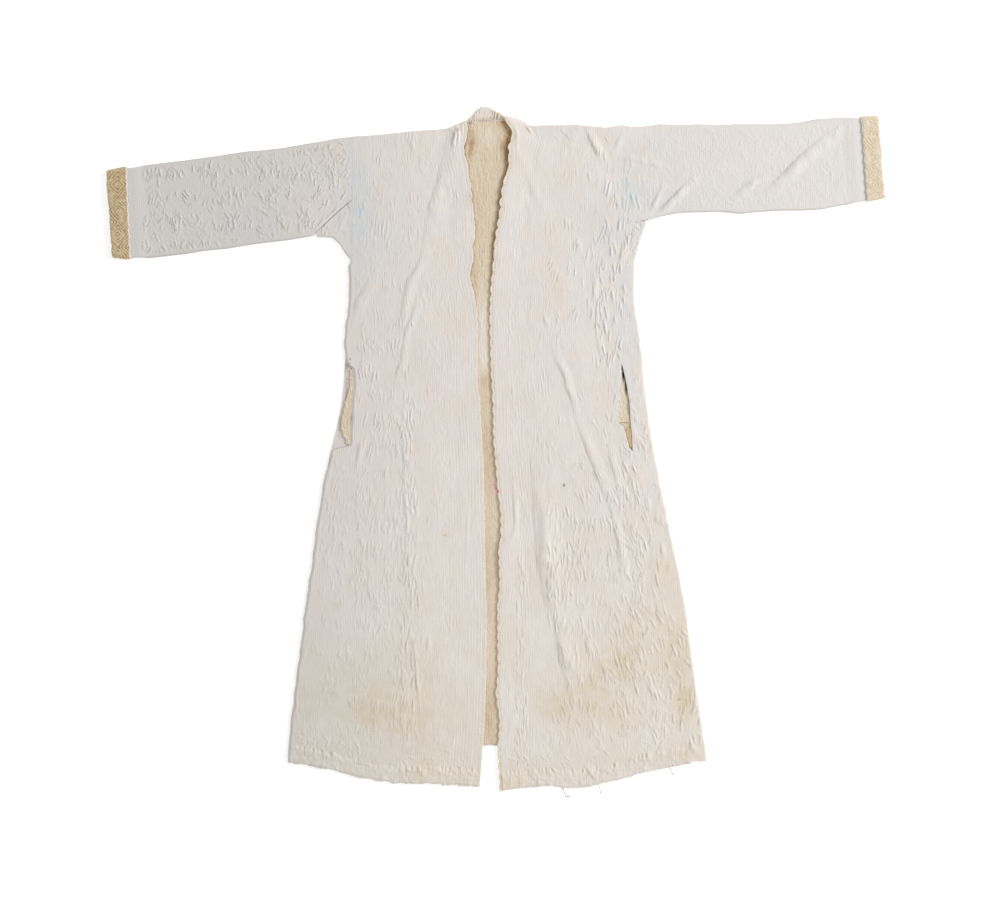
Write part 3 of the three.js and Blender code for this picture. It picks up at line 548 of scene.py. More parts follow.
def edge_line(edge, y):
    """The opening edge of a front. Handling has made it wavy near the neck."""
    wave = lattice_noise(y, y, 12, 12, 21) - 0.5
    return read(edge, "y", "x", y, soften=6) + EDGE_WOBBLE * wave * smooth(y, 200, 380)


levels = np.array((0.0, 300.0, 500.0))
print("opening at three levels:", (edge_line(LEFT_EDGE, levels) - edge_line(RIGHT_EDGE, levels)).round(1))


# %% Heights of creases
def ridge(x, y, start, end, width, height, steep_share=STEEP_SHARE):
    """Height of one straight ridge, steep on its shaded side and gentle on its lit side."""
    run = np.subtract(end, start)
    length = np.hypot(*run)
    run = run / length
    lit = np.array((run[1], -run[0]))
    if lit @ LIGHT_SIDE < 0:
        lit = -lit
    along = (x - start[0]) * run[0] + (y - start[1]) * run[1]
    across = (x - start[0]) * lit[0] + (y - start[1]) * lit[1]
    past = np.maximum(0, np.maximum(-along, along - length)) / width
    gentle = np.cos(np.clip(across / width, 0, 1) * math.pi / 2) ** 2
    steep = (1 - np.clip(-across / (steep_share * width), 0, 1) ** 2) ** 0.8
    tip = np.cos(np.clip(past, 0, 1) * math.pi / 2) ** 2
    return height * tip * np.where(across > 0, gentle, steep)


def crease_height(x, y):
    """All the creases. Each dies away towards its ends, and is uneven on its way."""
    height = np.zeros_like(x)
    for width, tall, points in CREASES:
        tip = TIP_SHARE * np.hypot(*np.subtract(points[-1], points[0]))
        for start, end in zip(points, points[1:]):
            low = np.minimum(start, end) - width
            high = np.maximum(start, end) + width
            near = (x > low[0]) & (x < high[0]) & (y > low[1]) & (y < high[1])
            if near.any():
                made = ridge(x[near], y[near], start, end, width, tall * CREASE_DEPTH)
                for end_x, end_y in (points[0], points[-1]):
                    from_end = np.hypot(x[near] - end_x, y[near] - end_y)
                    made *= mix(0.25, 1, smooth(from_end, 0, tip))
                height[near] = np.maximum(height[near], made)
    return height * mix(0.45, 1.15, lattice_noise(x, y, 15, 20, 3))


sample = np.linspace(-20, 20, 41)
profile = ridge(sample, 0 * sample, (0, -5), (0, 5), 10, 1.0)
print("a ridge 10 mm wide is above half its height over", (profile > 0.5).sum(), "mm")

# %% [markdown]
# ## Wrinkles
# Between the creases the quilting has shrunk into hundreds of short wrinkles. They could be
# bump, but they throw shadows and catch the light, so they are in the mesh. A table gives
# each patch of them: how many, where, how long, wide and high, and how they lean.


# %% Heights of wrinkles
def scatter_wrinkles(x, y, count, box, length, width, tall, lean, turned=False, row=None):
    """Short wrinkles in a box, in small groups side by side. Most are upright, or lying if
    turned. row gives the distance between rows, where they stand in rows."""
    height = np.zeros_like(x)
    for _ in range(count):
        centre = rng.uniform((box[0], box[1]), (box[2], box[3]))
        if row:
            centre[1] = round(centre[1] / row) * row + rng.normal(0, row * 0.14)
        angle = rng.normal(0, lean) + (math.pi / 2 if turned else 0)
        run = np.array((math.sin(angle), math.cos(angle)))
        beside = np.array((run[1], -run[0])) * rng.uniform(4.5, 7.5)
        for step in range(rng.integers(1, 4)):
            middle = centre + beside * step * rng.uniform(0.8, 1.3) + run * rng.normal(0, 3)
            bend = rng.normal(0, 0.22)
            half = np.array((math.sin(angle + bend), math.cos(angle + bend)))
            half = half * rng.uniform(*length) / 2
            wide, high = rng.uniform(*width), rng.uniform(*tall) * WRINKLE_DEPTH
            reach = np.hypot(*half) + wide
            near = (abs(x - middle[0]) < reach) & (abs(y - middle[1]) < reach)
            if near.any():
                made = ridge(x[near], y[near], middle - half, middle + half, wide, high,
                             WRINKLE_STEEP_SHARE)
                height[near] = np.maximum(height[near], made)
    return height


def wrinkle_height(x, y, table):
    """The highest of all the wrinkles of a table, at each point."""
    return np.maximum.reduce([scatter_wrinkles(x, y, *row) for row in table])


print("wrinkles are up to", WRINKLE_DEPTH, "of the heights in their tables")

# %% [markdown]
# ## Cloth from a grid
# A flat sheet of cloth is a grid. Cloth simulation could settle it, but it wouldn't put the
# creases where this robe has them. So one helper makes a bmesh grid and moves its points to a
# shape, which is given as a function of two shares, and closes it to a wall. A wall with a
# plain underside is two grids, bridged round their rim. A tube is one grid, merged at its seam.


# %% Helpers for meshes
UNDERSIDE_SHARE = 4
RIM_ANGLE = math.radians(60)


def grid_mesh(name, columns, rows, two_sided):
    """A grid, or two for a wall: the one below is coarser, because it is plain and hidden."""
    bm = bmesh.new()
    bmesh.ops.create_grid(bm, x_segments=columns, y_segments=rows, size=0.5)
    if two_sided:
        below = bmesh.ops.create_grid(
            bm, x_segments=columns // UNDERSIDE_SHARE, y_segments=rows // UNDERSIDE_SHARE, size=0.5)
        bmesh.ops.translate(bm, vec=(0, 0, -0.05), verts=below["verts"])
        rims = [edge for edge in bm.edges if edge.is_boundary]
        bmesh.ops.bridge_loops(bm, edges=rims)
        bmesh.ops.recalc_face_normals(bm, faces=bm.faces)
    mesh = bpy.data.meshes.new(name)
    bm.to_mesh(mesh)
    bm.free()
    return mesh


def points_of(mesh):
    flat = np.empty(len(mesh.vertices) * 3)
    mesh.vertices.foreach_get("co", flat)
    return flat.reshape(-1, 3)


def close_and_turn(mesh, caps):
    """Merges the seam of a tube, closes its ends if asked, and turns its faces outwards."""
    bm = bmesh.new()
    bm.from_mesh(mesh)
    bmesh.ops.remove_doubles(bm, verts=bm.verts, dist=0.01 * MM)
    if caps:
        bmesh.ops.holes_fill(bm, edges=[edge for edge in bm.edges if edge.is_boundary])
    middle = sum((vert.co for vert in bm.verts), Vector()) / len(bm.verts)
    volume = sum(face.normal.dot(face.calc_center_median() - middle) * face.calc_area()
                 for face in bm.faces)
    if volume < 0:
        bmesh.ops.reverse_faces(bm, faces=bm.faces)
    bm.to_mesh(mesh)
    bm.free()


def sharpen_rims(mesh):
    """Marks the free edges of a sheet as sharp, so that its wall keeps square corners."""
    used = np.empty(len(mesh.loops), np.int32)
    mesh.loops.foreach_get("edge_index", used)
    faces_beside = np.bincount(used, minlength=len(mesh.edges))
    for index in np.flatnonzero(faces_beside == 1):
        mesh.edges[int(index)].use_edge_sharp = True


print("a grid's underside has a point for every", UNDERSIDE_SHARE, "on its top")


# %% Helper for a piece of cloth
def half_surface(mesh, thickness):
    """Half the surface of a closed wall in square metres, which is the cloth's own area."""
    sides = 1 if thickness else 0.5
    return sides * sum(polygon.area for polygon in mesh.polygons)


def make_cloth(name, columns, rows, shape, replaced, flat, area=None, two_sided=True,
               caps=False, thickness=None, marks=()):
    """A piece of cloth. shape(across, along, under) gives x, y and z in millimetres. flat is
    the size it was cut to."""
    mesh = grid_mesh(name, columns, rows, two_sided)
    grid = points_of(mesh)
    across, along = grid[:, 0] + 0.5, grid[:, 1] + 0.5
    x, y, z = shape(across, along, grid[:, 2] < -0.02)
    places = np.stack((x, y, z), axis=1) * MM
    mesh.vertices.foreach_set("co", places.ravel())
    for mark, paint in marks:
        layer = mesh.attributes.new(mark, "FLOAT", "POINT")
        layer.data.foreach_set("value", paint(x, y, across, along).astype(np.float32))
    close_and_turn(mesh, caps)
    mesh.shade_smooth()
    mesh.set_sharp_from_angle(angle=RIM_ANGLE)
    sharpen_rims(mesh)
    piece = bpy.data.objects.new(name, mesh)
    bpy.context.scene.collection.objects.link(piece)
    if thickness:
        solidify = piece.modifiers.new("wall", "SOLIDIFY")
        solidify.thickness = thickness * MM
        solidify.offset = -1
    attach(piece, "root")
    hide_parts(*replaced)
    size = (flat[0] * MM, flat[1] * MM)
    cut = size[0] * size[1] if area is None else area
    share = half_surface(mesh, thickness) / cut
    print(name, len(mesh.polygons), "faces, cloth", round(share, 2), "of its flat cut")
    return piece


print("a rim is sharp past", round(math.degrees(RIM_ANGLE)), "degrees")

# %% [markdown]
# ## Stains and tints
# The cotton has yellow-brown stains near the hem and faint blue tints at the armholes. They
# belong to places on the robe, not to a pattern, so noise alone can't give them. They are
# listed as soft spots. Each is painted on the points as a number, and the material
# breaks it up with noise.

# %% Soft spots of the cotton
STAINS = [
    # x, y, half width, half height, amount
    (-208, -476, 80, 46, 0.6), (-235, -478, 20, 18, 0.55), (-356, -470, 26, 66, 0.75),
    (-300, -440, 60, 80, 0.4), (-330, -340, 20, 60, 0.3), (-120, -500, 50, 50, 0.3),
    (-200, -400, 90, 60, 0.3), (-330, -540, 60, 26, 0.3), (-200, -560, 120, 30, 0.25),
    (-287, -284, 7, 7, 0.9), (-307, -300, 6, 6, 0.5), (-90, -157, 10, 6, 0.3),
    (-40, 452, 9, 18, 0.55), (112, -462, 30, 34, 0.52), (160, -455, 24, 50, 0.26),
    (224, -391, 46, 30, 0.52), (190, -420, 60, 40, 0.3), (341, -459, 16, 36, 0.7),
    (262, -350, 50, 50, 0.32), (290, -250, 40, 80, 0.26), (330, -380, 26, 70, 0.4),
    (115, 288, 10, 24, 0.25), (60, -575, 60, 24, 0.3), (30, -604, 30, 14, 0.35),
    (-60, -585, 40, 26, 0.25), (-150, -590, 50, 16, 0.25), (285, -560, 60, 18, 0.3),
    (200, -480, 60, 30, 0.3), (-340, -560, 30, 14, 0.3), (345, -550, 16, 16, 0.4),
    (3, 599, 9, 8, 1.0), (12, 594, 6, 8, 1.0), (-46, 590, 7, 7, 0.6), (-22, 590, 16, 5, 0.6),
    (60, 572, 9, 6, 0.3), (22, 540, 8, 40, 0.25), (-50, 560, 6, 20, 0.3),
    (-300, 530, 34, 30, 0.35), (-450, 500, 90, 30, 0.2), (-380, 440, 60, 30, 0.15),
    (392, 533, 26, 20, 0.32), (262, 534, 20, 18, 0.25), (470, 480, 22, 14, 0.2),
]
TINTS = [
    (-250, 452, 22, 80, 0.9), (-225, 380, 50, 60, 0.55), (244, 470, 22, 50, 0.6),
    (200, 400, 50, 60, 0.45), (-445, 408, 40, 26, 0.8), (-405, 400, 30, 24, 0.5),
    (230, 250, 40, 90, 0.35), (300, 440, 36, 30, 0.6), (-330, 500, 60, 40, 0.3),
    (620, 500, 50, 60, 0.3), (420, 440, 90, 20, 0.35), (230, 100, 20, 60, 0.35),
    (-500, 470, 70, 60, 0.3), (-250, 300, 20, 50, 0.35), (300, 540, 26, 26, 0.4),
    (-257, 452, 7, 60, 0.5), (-440, 380, 30, 14, 0.5), (-520, 390, 50, 24, 0.4),
    (-570, 450, 30, 40, 0.3),
]
RIM_SHADE_WIDTH = 2.2


def spots(table):
    """A function that paints a table's spots on points, each fading out from its middle."""
    def paint(x, y, across, along):
        amount = np.zeros_like(x)
        for spot_x, spot_y, half_x, half_y, strength in table:
            far = np.hypot((x - spot_x) / half_x, (y - spot_y) / half_y)
            amount += strength * np.exp(-far * far)
        return np.clip(amount, 0, 1)
    return paint


# Painted shade along the long edges of the sleeves.
def sleeve_rim_shade(x, y, across, along):
    """Painted shade: 1 along the two long edges of each sleeve, so that they look darker than its top."""
    amount = np.zeros_like(x)
    for table in (RIGHT_SLEEVE, LEFT_SLEEVE):
        start = table["x"][0]
        beyond = smooth(np.sign(start) * (x - start), 0, 20)
        for column in ("low", "high"):
            far = y - read(table, "x", column, x, soften=6)
            amount += beyond * np.exp(-(far / RIM_SHADE_WIDTH) ** 2)
    return np.clip(amount, 0, 1)


# The rim mark is painted shade along the sleeves' long edges.
COTTON_MARKS = [("stain", spots(STAINS)), ("tint", spots(TINTS)), ("rim", sleeve_rim_shade)]
print("stains:", len(STAINS), "tints:", len(TINTS))

# %% Soft spots of the lining
LINING_STAINS = [
    # x, y, half width, half height, amount
    (-42, 550, 6, 9, 0.8), (-44, 534, 5, 12, 0.7), (-44, 566, 6, 7, 0.35),
    (-38, 310, 5, 40, 0.35), (-32, 420, 8, 50, 0.12), (-20, 120, 14, 12, 0.25),
    (-16, -220, 9, 70, 0.3), (-17, 10, 10, 90, 0.12), (-12, -480, 12, 60, 0.35),
    (-8, -20, 10, 60, 0.25),
]
LINING_PALE = [
    (-23, 222, 12, 60, 1.0), (-20, 160, 9, 22, 0.9), (-14, 562, 14, 18, 0.6), (-10, 60, 9, 16, 0.3),
    (221, 92, 9, 44, 0.9), (227, 132, 5, 14, 0.8),
]


def lining_stain_and_shadow(x, y, across, along):
    """The soft spots are stains. The brown border along the left front's edge, strongest at the neck, is
    painted shadow of that raised edge, and a thin brown line runs along the right front's edge.
    """
    from_left = edge_line(LEFT_EDGE, y) - x
    from_right = x - edge_line(RIGHT_EDGE, y)
    border = 1.2 * smooth(y, 480, 560) * np.exp(-(from_left / 12) ** 2)
    border += 0.9 * smooth(y, 200, 420) * np.exp(-(from_left / 4.5) ** 2)
    border += 0.3 * smooth(y, 500, 550) * np.exp(-(from_right / 6) ** 2)
    border += 0.45 * smooth(y, 160, 300) * np.exp(-(from_right / 2) ** 2)
    return np.clip(border + spots(LINING_STAINS)(x, y, across, along), 0, 1)


# The lining's stain mark holds its stains and the painted shadow along the left front's edge.
LINING_MARKS = [("stain", lining_stain_and_shadow), ("pale", spots(LINING_PALE))]
print("lining stains:", len(LINING_STAINS), "pale patches:", len(LINING_PALE))

# %% [markdown]
# ## The fronts
# Each front is one flat panel that meets the other near the middle. Fine quilted channels run
# along its opening edge from neck to hem, and its field is covered with short upright puckers.
# A flat face cut to the outline would have its points in the wrong places for both. So the
# grid is stretched between the four outlines, with its columns following the opening edge.


# %% Relief of the quilting
CHANNEL_SHARE = 0.25
CHAIN_PITCH = 54.0
CHAIN_HALF_WIDTH = 6.0
HEM_ROW = 29.0


def pucker_height(x, y, seed):
    """Streaks and patches of quilting, stronger in some blocks than in others."""
    streaks = abs(lattice_noise(x, y, 4.2, 8, seed) - 0.5) * 2
    patch = lattice_noise(x, y, 34, 26, seed + 1)
    lying = abs(lattice_noise(x, y, 10, 4.6, seed + 2) - 0.5) * 2
    return 0.28 * mix(0.2, 1.0, patch) * streaks + 0.25 * smooth(patch, 0.66, 0.86) * lying


def seam_puckers(run, distance, seed):
    """Small gathers across a seam, which is itself a soft groove."""
    gathers = abs(lattice_noise(run, run, 6, 6, seed) - 0.5) * 2
    return 0.8 * gathers * np.exp(-(distance / 7) ** 2) * mix(0.6, 1, smooth(distance, 0, 2))


def lozenges(distance, y):
    """A chain of small stitched lozenges, as a shallow groove along their outlines."""
    up = abs(y % CHAIN_PITCH - CHAIN_PITCH / 2)
    far = abs(distance) / CHAIN_HALF_WIDTH + up / (1.6 * CHAIN_HALF_WIDTH)
    return np.exp(-((far - 1) / 0.3) ** 2)


def channel_relief(x, y, to_edge, near, chain, seed):
    """The channels along the opening, and the chain of lozenges among them."""
    lines = 0.5 + 0.5 * np.cos(2 * math.pi * to_edge / CHANNEL_PITCH
                               + 3 * lattice_noise(x, y, 26, 90, seed + 4))
    broken = smooth(lattice_noise(x, y, 9, 24, seed + 5), 0.2, 0.8)
    return 0.3 * lines * broken * near - 0.3 * lozenges(to_edge - chain, y)


def hem_relief(x, y, above_hem, seed):
    """The stitched row above the hem, and the gathers below it."""
    wandering = above_hem - HEM_ROW - 5 * (lattice_noise(x, x, 22, 22, seed + 9) - 0.5)
    stitched_down = lattice_noise(x, x, 3.6, 3.6, seed + 10)
    patch = smooth(lattice_noise(x, x, 30, 30, seed + 13), 0.2, 0.8)
    row = 4.0 * mix(0.4, 1, patch) * (stitched_down - 0.5) * np.exp(-(wandering / 4) ** 2)
    gathers = abs(lattice_noise(x, y, 5.5, 9, seed + 11) - 0.5) * 2
    gathers += abs(lattice_noise(x, y, 12, 7, seed + 14) - 0.5) * 2
    below = (0.5 + 1.3 * gathers * mix(0.4, 1, patch)) * (1 - smooth(wandering, -3, 1))
    return row, below


print("quilted channels along each opening edge:", round(CHANNEL_ZONE / CHANNEL_PITCH))


# %% How the fronts lie
def right_roll(y):
    """How far the right front's edge stands up from the lining."""
    return 0.4 + 1.8 * smooth(y, 250, 500)


def left_roll(y):
    """The left front's edge stands up at the neck, and a little again below the waist."""
    at_neck = 2.6 * smooth(y, 220, 470) * (1 - 0.6 * smooth(y, 570, 597))
    return 0.6 + at_neck + 2.0 * np.exp(-((y + 200) / 50) ** 2)


def shoulder_drop(x, y):
    """Beside the neck the fronts reach past the back, and settle towards the floor."""
    return FRONT_BASE * smooth(y - read(BACK_SHOULDER, "x", "y", x), 1, 12)


print("the left front's edge stands", round(left_roll(540.0), 1), "mm up at the neck")

# %% Shape of a front
SEAM_LAP = 0.8
ROW_SPREAD = {"row": [0, 0.1, 1], "share": [0, 0.05, 1]}
NOTCH_REACH = 16
SIDE_SOFTENING = 70
EDGE_DROP = 1.9
UNDERARM = 334


def front_plan(side, edge, hem, shoulder, inward, seed, across, along, under):
    """x and y of a front's points, then x and y of its side and its opening in their rows."""
    low_corners = np.interp((side["x"][0], edge["x"][0]), hem["x"], hem["y"])
    top_corners = np.interp((side["x"][-1], edge["x"][-1]), shoulder["x"], shoulder["y"])
    side_y = mix(low_corners[0], top_corners[0], along)
    side_x = read(side, "y", "x", side_y)
    for reach in (-NOTCH_REACH, NOTCH_REACH):
        beside = read(side, "y", "x", side_y + reach)
        drawn_in = inward * np.maximum(inward * side_x, inward * beside)
        side_x = np.where(under, drawn_in, side_x)
    settled = read(side, "y", "x", side_y, soften=SIDE_SOFTENING)
    edge_y = mix(low_corners[1], top_corners[1], along)
    edge_x = edge_line(edge, edge_y) - inward * BINDING_WIDTH
    zone_x = edge_x - inward * CHANNEL_ZONE
    field = np.clip(across / (1 - CHANNEL_SHARE), 0, 1)
    x = mix(settled, zone_x, field) + (side_x - settled) * (1 - smooth(across, 0, 0.12))
    in_zone = np.clip((across - 1 + CHANNEL_SHARE) / CHANNEL_SHARE, 0, 1)
    x = np.where(across > 1 - CHANNEL_SHARE, mix(zone_x, edge_x, in_zone), x)
    share = (x - side_x) / (edge_x - side_x)
    x_low = mix(side["x"][0], edge["x"][0], share)
    x_top = mix(side["x"][-1], edge["x"][-1], share)
    hem_turn = read(hem, "x", "y", x_low, soften=8) - mix(*low_corners, share)
    top_turn = read(shoulder, "x", "y", x_top, soften=4) - mix(*top_corners, share)
    hem_turn, top_turn = (turn * smooth(share, 0, 0.03) for turn in (hem_turn, top_turn))
    y = mix(side_y, edge_y, share) + hem_turn * (1 - along) ** 3 + top_turn * along ** 3
    ragged = 4.4 * lattice_noise(x, x, 15, 15, seed + 7)
    ragged += 2.6 * lattice_noise(x, x, 5, 5, seed + 8)
    y = y + (ragged - 3.5) * (1 - along) ** 50
    return x, y, side_x, side_y, edge_x, edge_y


def front_shape(side, edge, hem, shoulder, inward, roll, chain, wrinkles, seed):
    """The shape of one front. inward is 1 for the right one, whose side edge is free."""
    def shape(across, along, under):
        along = read(ROW_SPREAD, "row", "share", along)
        x, y, side_x, side_y, edge_x, edge_y = front_plan(
            side, edge, hem, shoulder, inward, seed, across, along, under)
        to_side, to_edge = abs(x - side_x), abs(x - edge_x)
        top = ~under
        x = x - inward * SEAM_LAP * (across < 1e-6) * top
        if inward == 1:
            worn = 2.8 * (lattice_noise(y, y, 17, 17, seed + 12) - 0.5)
            worn = worn * (1 - smooth(side_y, UNDERARM - 14, UNDERARM))
            x = x + worn * (1 - smooth(across, 0, 0.05))
        fade = smooth(to_side, 0, 12) * smooth(to_edge, 0, 5)
        lift = roll(edge_y) * (1 - smooth(to_edge, 0, EDGE_ROLL_WIDTH))
        z = FRONT_BASE + lift + crease_height(x, y) * fade - shoulder_drop(x, y)
        near = 1 - smooth(to_edge, CHANNEL_ZONE - 25, CHANNEL_ZONE + 10)
        relief = channel_relief(x, y, to_edge, near, chain, seed)
        puckers = pucker_height(x, y, seed) * (1 - 0.6 * near)
        relief += puckers + wrinkle_height(x, y, wrinkles)
        relief = relief * mix(0.3, 1, smooth(to_side, 0, 3))
        relief += seam_puckers(y, to_side, seed + 3)
        above_hem = y - read(hem, "x", "y", x)
        for part in hem_relief(x, y, above_hem, seed):
            relief += part
        rounded_off = smooth(above_hem, 0, 4)
        if inward == 1:
            free_edge = np.where(side_y < UNDERARM - 4, smooth(to_side, 0, 4.5), 1)
            rounded_off = np.minimum(rounded_off, free_edge)
        relief -= EDGE_DROP * (1 - rounded_off)
        return x, y, z + np.where(under, 0, FRONT_CLOTH + relief)
    return shape


corner_x = [line["x"][row] for line in (RIGHT_SIDE, RIGHT_EDGE) for row in (0, -1)]
print("corners of the right front lie at x =", corner_x)

# %% Right front
RIGHT_WRINKLES = [
    # count, box, length, width, height, lean, lying, distance between rows
    (220, (-250, -500, -160, 230), (7, 17), (2.0, 3.4), (0.5, 1.4), 0.25, False, 46),
    (130, (-250, -520, -150, 560), (6, 16), (2.0, 3.2), (0.3, 1.1), 0.35),
    (70, (-250, -540, -130, 540), (6, 16), (2.0, 3.2), (0.3, 0.9), 0.4, True),
    (170, (-365, -545, -245, -20), (6, 15), (2.0, 3.4), (0.4, 1.2), 0.5),
    (60, (-365, -570, -60, -490), (6, 16), (2.0, 3.2), (0.4, 1.2), 0.7, True),
    (70, (-170, -520, -148, 60), (9, 26), (2.0, 3.6), (0.6, 1.6), 0.15),
    (60, (-250, 250, -75, 560), (6, 16), (2.0, 3.4), (0.3, 1.0), 0.6),
    (50, (-145, -560, -80, 300), (7, 20), (2.0, 3.0), (0.25, 0.7), 0.15),
]

make_cloth(
    "quilted_front_right", 256, 320,
    front_shape(RIGHT_SIDE, RIGHT_EDGE, RIGHT_HEM, RIGHT_SHOULDER, 1,
                right_roll, 62, RIGHT_WRINKLES, 11),
    ["front_right"], (357, 1190), area=0.323,
    marks=COTTON_MARKS,
)

# %% Left front
LEFT_WRINKLES = [
    # count, box, length, width, height, lean, lying, distance between rows
    (200, (115, -510, 255, -60), (7, 18), (2.0, 3.6), (0.5, 1.5), 0.35, False, 46),
    (160, (95, -540, 260, 560), (6, 17), (2.0, 3.4), (0.4, 1.3), 0.4),
    (60, (110, -540, 300, 540), (6, 16), (2.0, 3.2), (0.3, 0.9), 0.35, True),
    (150, (215, -520, 335, 0), (7, 20), (2.2, 4.2), (0.7, 1.9), 0.45),
    (60, (175, 160, 245, 470), (8, 22), (2.2, 4.4), (0.7, 2.0), 0.35),
    (34, (92, -330, 128, -110), (8, 20), (2.2, 4.0), (0.7, 1.7), 0.25),
    (50, (30, -590, 330, -500), (6, 16), (2.0, 3.2), (0.4, 1.2), 0.7, True),
    (50, (38, -570, 48, -190), (7, 18), (2.0, 3.4), (0.5, 1.3), 0.15),
    (50, (20, -180, 100, 480), (8, 22), (2.0, 3.0), (0.25, 0.8), 0.15),
]

make_cloth(
    "quilted_front_left", 256, 320,
    front_shape(LEFT_SIDE, LEFT_EDGE, LEFT_HEM, LEFT_SHOULDER, -1,
                left_roll, 40, LEFT_WRINKLES, 31),
    ["front_left"], (357, 1197), area=0.33,
    marks=COTTON_MARKS,
)

# %% [markdown]
# ## Bindings
# A narrow strip of cotton is sewn over each opening edge, and its stitches pull it into small
# scallops. A bevelled curve would give an even bead. A tube made from a grid follows the edge
# line as well, and each of its points can be moved for a scallop, a stitch or a puff.

# %% Bindings
SCALLOPS = 62
STITCH_PITCH = 5.0


def rounded(angle, power):
    return np.sign(np.cos(angle)) * abs(np.cos(angle)) ** power


def binding_shape(edge, inward, roll, depth, corner, seed):
    """depth is how far the stitches pull it in. A small corner makes a squarer section."""
    first, last = edge["y"][0], edge["y"][-1]

    def shape(around, along, under):
        y = mix(first, last, along)
        near = edge_line(edge, y) - inward * (BINDING_WIDTH + GAP)
        wave = abs(np.sin(math.pi * SCALLOPS * along + 2 * lattice_noise(y, y, 60, 60, seed)))
        reach = BINDING_WIDTH + GAP - depth * (1 - wave)
        turn = 2 * math.pi * around
        side = 0.5 - 0.5 * rounded(turn, corner)
        height = 0.5 + 0.5 * rounded(turn - math.pi / 2, corner)
        stitch = np.exp(-((y % STITCH_PITCH - STITCH_PITCH / 2) / 1.2) ** 2)
        on_top = smooth(height, 0.6, 0.95)
        dent = 1.1 * stitch * np.exp(-((side - 0.35) / 0.3) ** 2) * on_top
        puff = 0.6 * lattice_noise(y, y, 9, 9, seed + 1) * on_top
        x = near + inward * side * reach
        z = FRONT_BASE + roll(y) + height * (BINDING_HEIGHT - 0.2) + puff - dent
        return x, y, z - shoulder_drop(x, y)
    return shape


make_cloth(
    "binding_strip_right", 14, 900,
    binding_shape(RIGHT_EDGE, 1, right_roll, 0.8, 0.4, 41),
    ["binding_right"], (10, 1200), area=0.009,
    two_sided=False, caps=True, marks=COTTON_MARKS,
)
make_cloth(
    "binding_strip_left", 14, 900,
    binding_shape(LEFT_EDGE, -1, left_roll, 2.2, 0.6, 43),
    ["binding_left"], (10, 1215), area=0.009,
    two_sided=False, caps=True,
)

# %% [markdown]
# ## Sleeves
# A sleeve is a tube that lies flat, so its section is two flat runs joined by two tight
# folds. A cylinder pressed flat would have as many points below as above. Here a grid is
# wrapped round the section with most of its columns on the upper side, where puckers show.

# %% Section of a flattened tube
TUBE_TURNS = (0.13, 0.17, 0.83, 0.87)


def flat_tube(around, low, high, bottom, height):
    """Place across and height round a flattened tube, from the middle of its underside."""
    radius = height / 2
    flat_low, flat_high = low + radius, high - radius
    middle = (low + high) / 2
    a, b, c, d = TUBE_TURNS
    low_turn = math.pi * (-0.5 - (around - a) / (b - a))
    high_turn = math.pi * (0.5 - (around - c) / (d - c))
    runs = [around < a, around < b, around <= c, around < d, around >= d]
    place = np.select(runs, [
        mix(middle, flat_low, around / a),
        flat_low + radius * np.cos(low_turn),
        mix(flat_low, flat_high, (around - b) / (c - b)),
        flat_high + radius * np.cos(high_turn),
        mix(flat_high, middle, (around - d) / (1 - d)),
    ])
    level = np.select(runs, [
        bottom,
        bottom + radius + radius * np.sin(low_turn),
        bottom + height,
        bottom + radius + radius * np.sin(high_turn),
        bottom,
    ])
    on_top = (around > b) & (around < c)
    return place, level, on_top


print("share of a tube's columns on top:", round(TUBE_TURNS[2] - TUBE_TURNS[1], 2))


# %% Sleeves
SLEEVE_HEIGHT = 5.2
CUFF_RAMP = 32


def sleeve_shape(table, cuff, box, fineness, strength, seed):
    """fineness scales how wide the wrinkles are, and strength how high."""
    start, end = table["x"][0], table["x"][-1]
    side = np.sign(end)
    cuff_edge = (cuff["edge_high"] + cuff["edge_low"]) / 2

    def shape(around, along, under):
        row_x = mix(start, end, along)
        on_cuff = smooth(side * (row_x - cuff_edge), -CUFF_RAMP, -8)
        low = read(table, "x", "low", row_x, soften=6) + on_cuff * (CUFF_CLOTH + GAP)
        high = read(table, "x", "high", row_x, soften=6) - on_cuff * (CUFF_CLOTH + GAP)
        bottom = on_cuff * (CUFF_CLOTH + GAP)
        height = mix(STACK, SLEEVE_HEIGHT, on_cuff)
        y, z, on_top = flat_tube(around, low, high, bottom, height)
        share = (y - low) / (high - low)
        end_x = mix(cuff["end_low"], cuff["end_high"], share) - side * (CUFF_CLOTH + 4 * GAP)
        x = mix(start, end_x, along)
        free = smooth(np.minimum(y - low, high - y), 1, 12)
        plain = 1 - smooth(side * (x - cuff_edge), -26, -20)
        wide = (2.0 * fineness, 3.4 * fineness)
        stitched = wrinkle_height(x, y, [
            (230, box, (6, 14), wide, (0.6, 1.5), 0.35, False, 45),
            (160, box, (5, 12), wide, (0.4, 1.2), 0.6),
            (90, box, (5, 12), wide, (0.3, 0.9), 0.4, True),
        ])
        quilting = 1.5 * pucker_height(x, y, seed) + strength * stitched
        quilting = quilting * plain * smooth(abs(x - start), 0, 6)
        folds = crease_height(x, y) * plain * smooth(abs(x - start), 0, 14)
        seam = seam_puckers(y, abs(x - start), seed + 3)
        return x, y, z + np.where(on_top, (folds + quilting + seam) * free, 0)
    return shape


make_cloth(
    "quilted_sleeve_right", 128, 270,
    sleeve_shape(RIGHT_SLEEVE, RIGHT_CUFF, (-640, 350, -262, 548), 0.8, 1.5, 51),
    ["sleeve_right"], (350, 439), area=0.15,
    two_sided=False, thickness=2.0, marks=COTTON_MARKS,
)
make_cloth(
    "quilted_sleeve_left", 128, 270,
    sleeve_shape(LEFT_SLEEVE, LEFT_CUFF, (277, 425, 640, 590), 1.0, 0.42, 61),
    ["sleeve_left"], (330, 425), area=0.138,
    two_sided=False, thickness=2.0, marks=COTTON_MARKS,
)

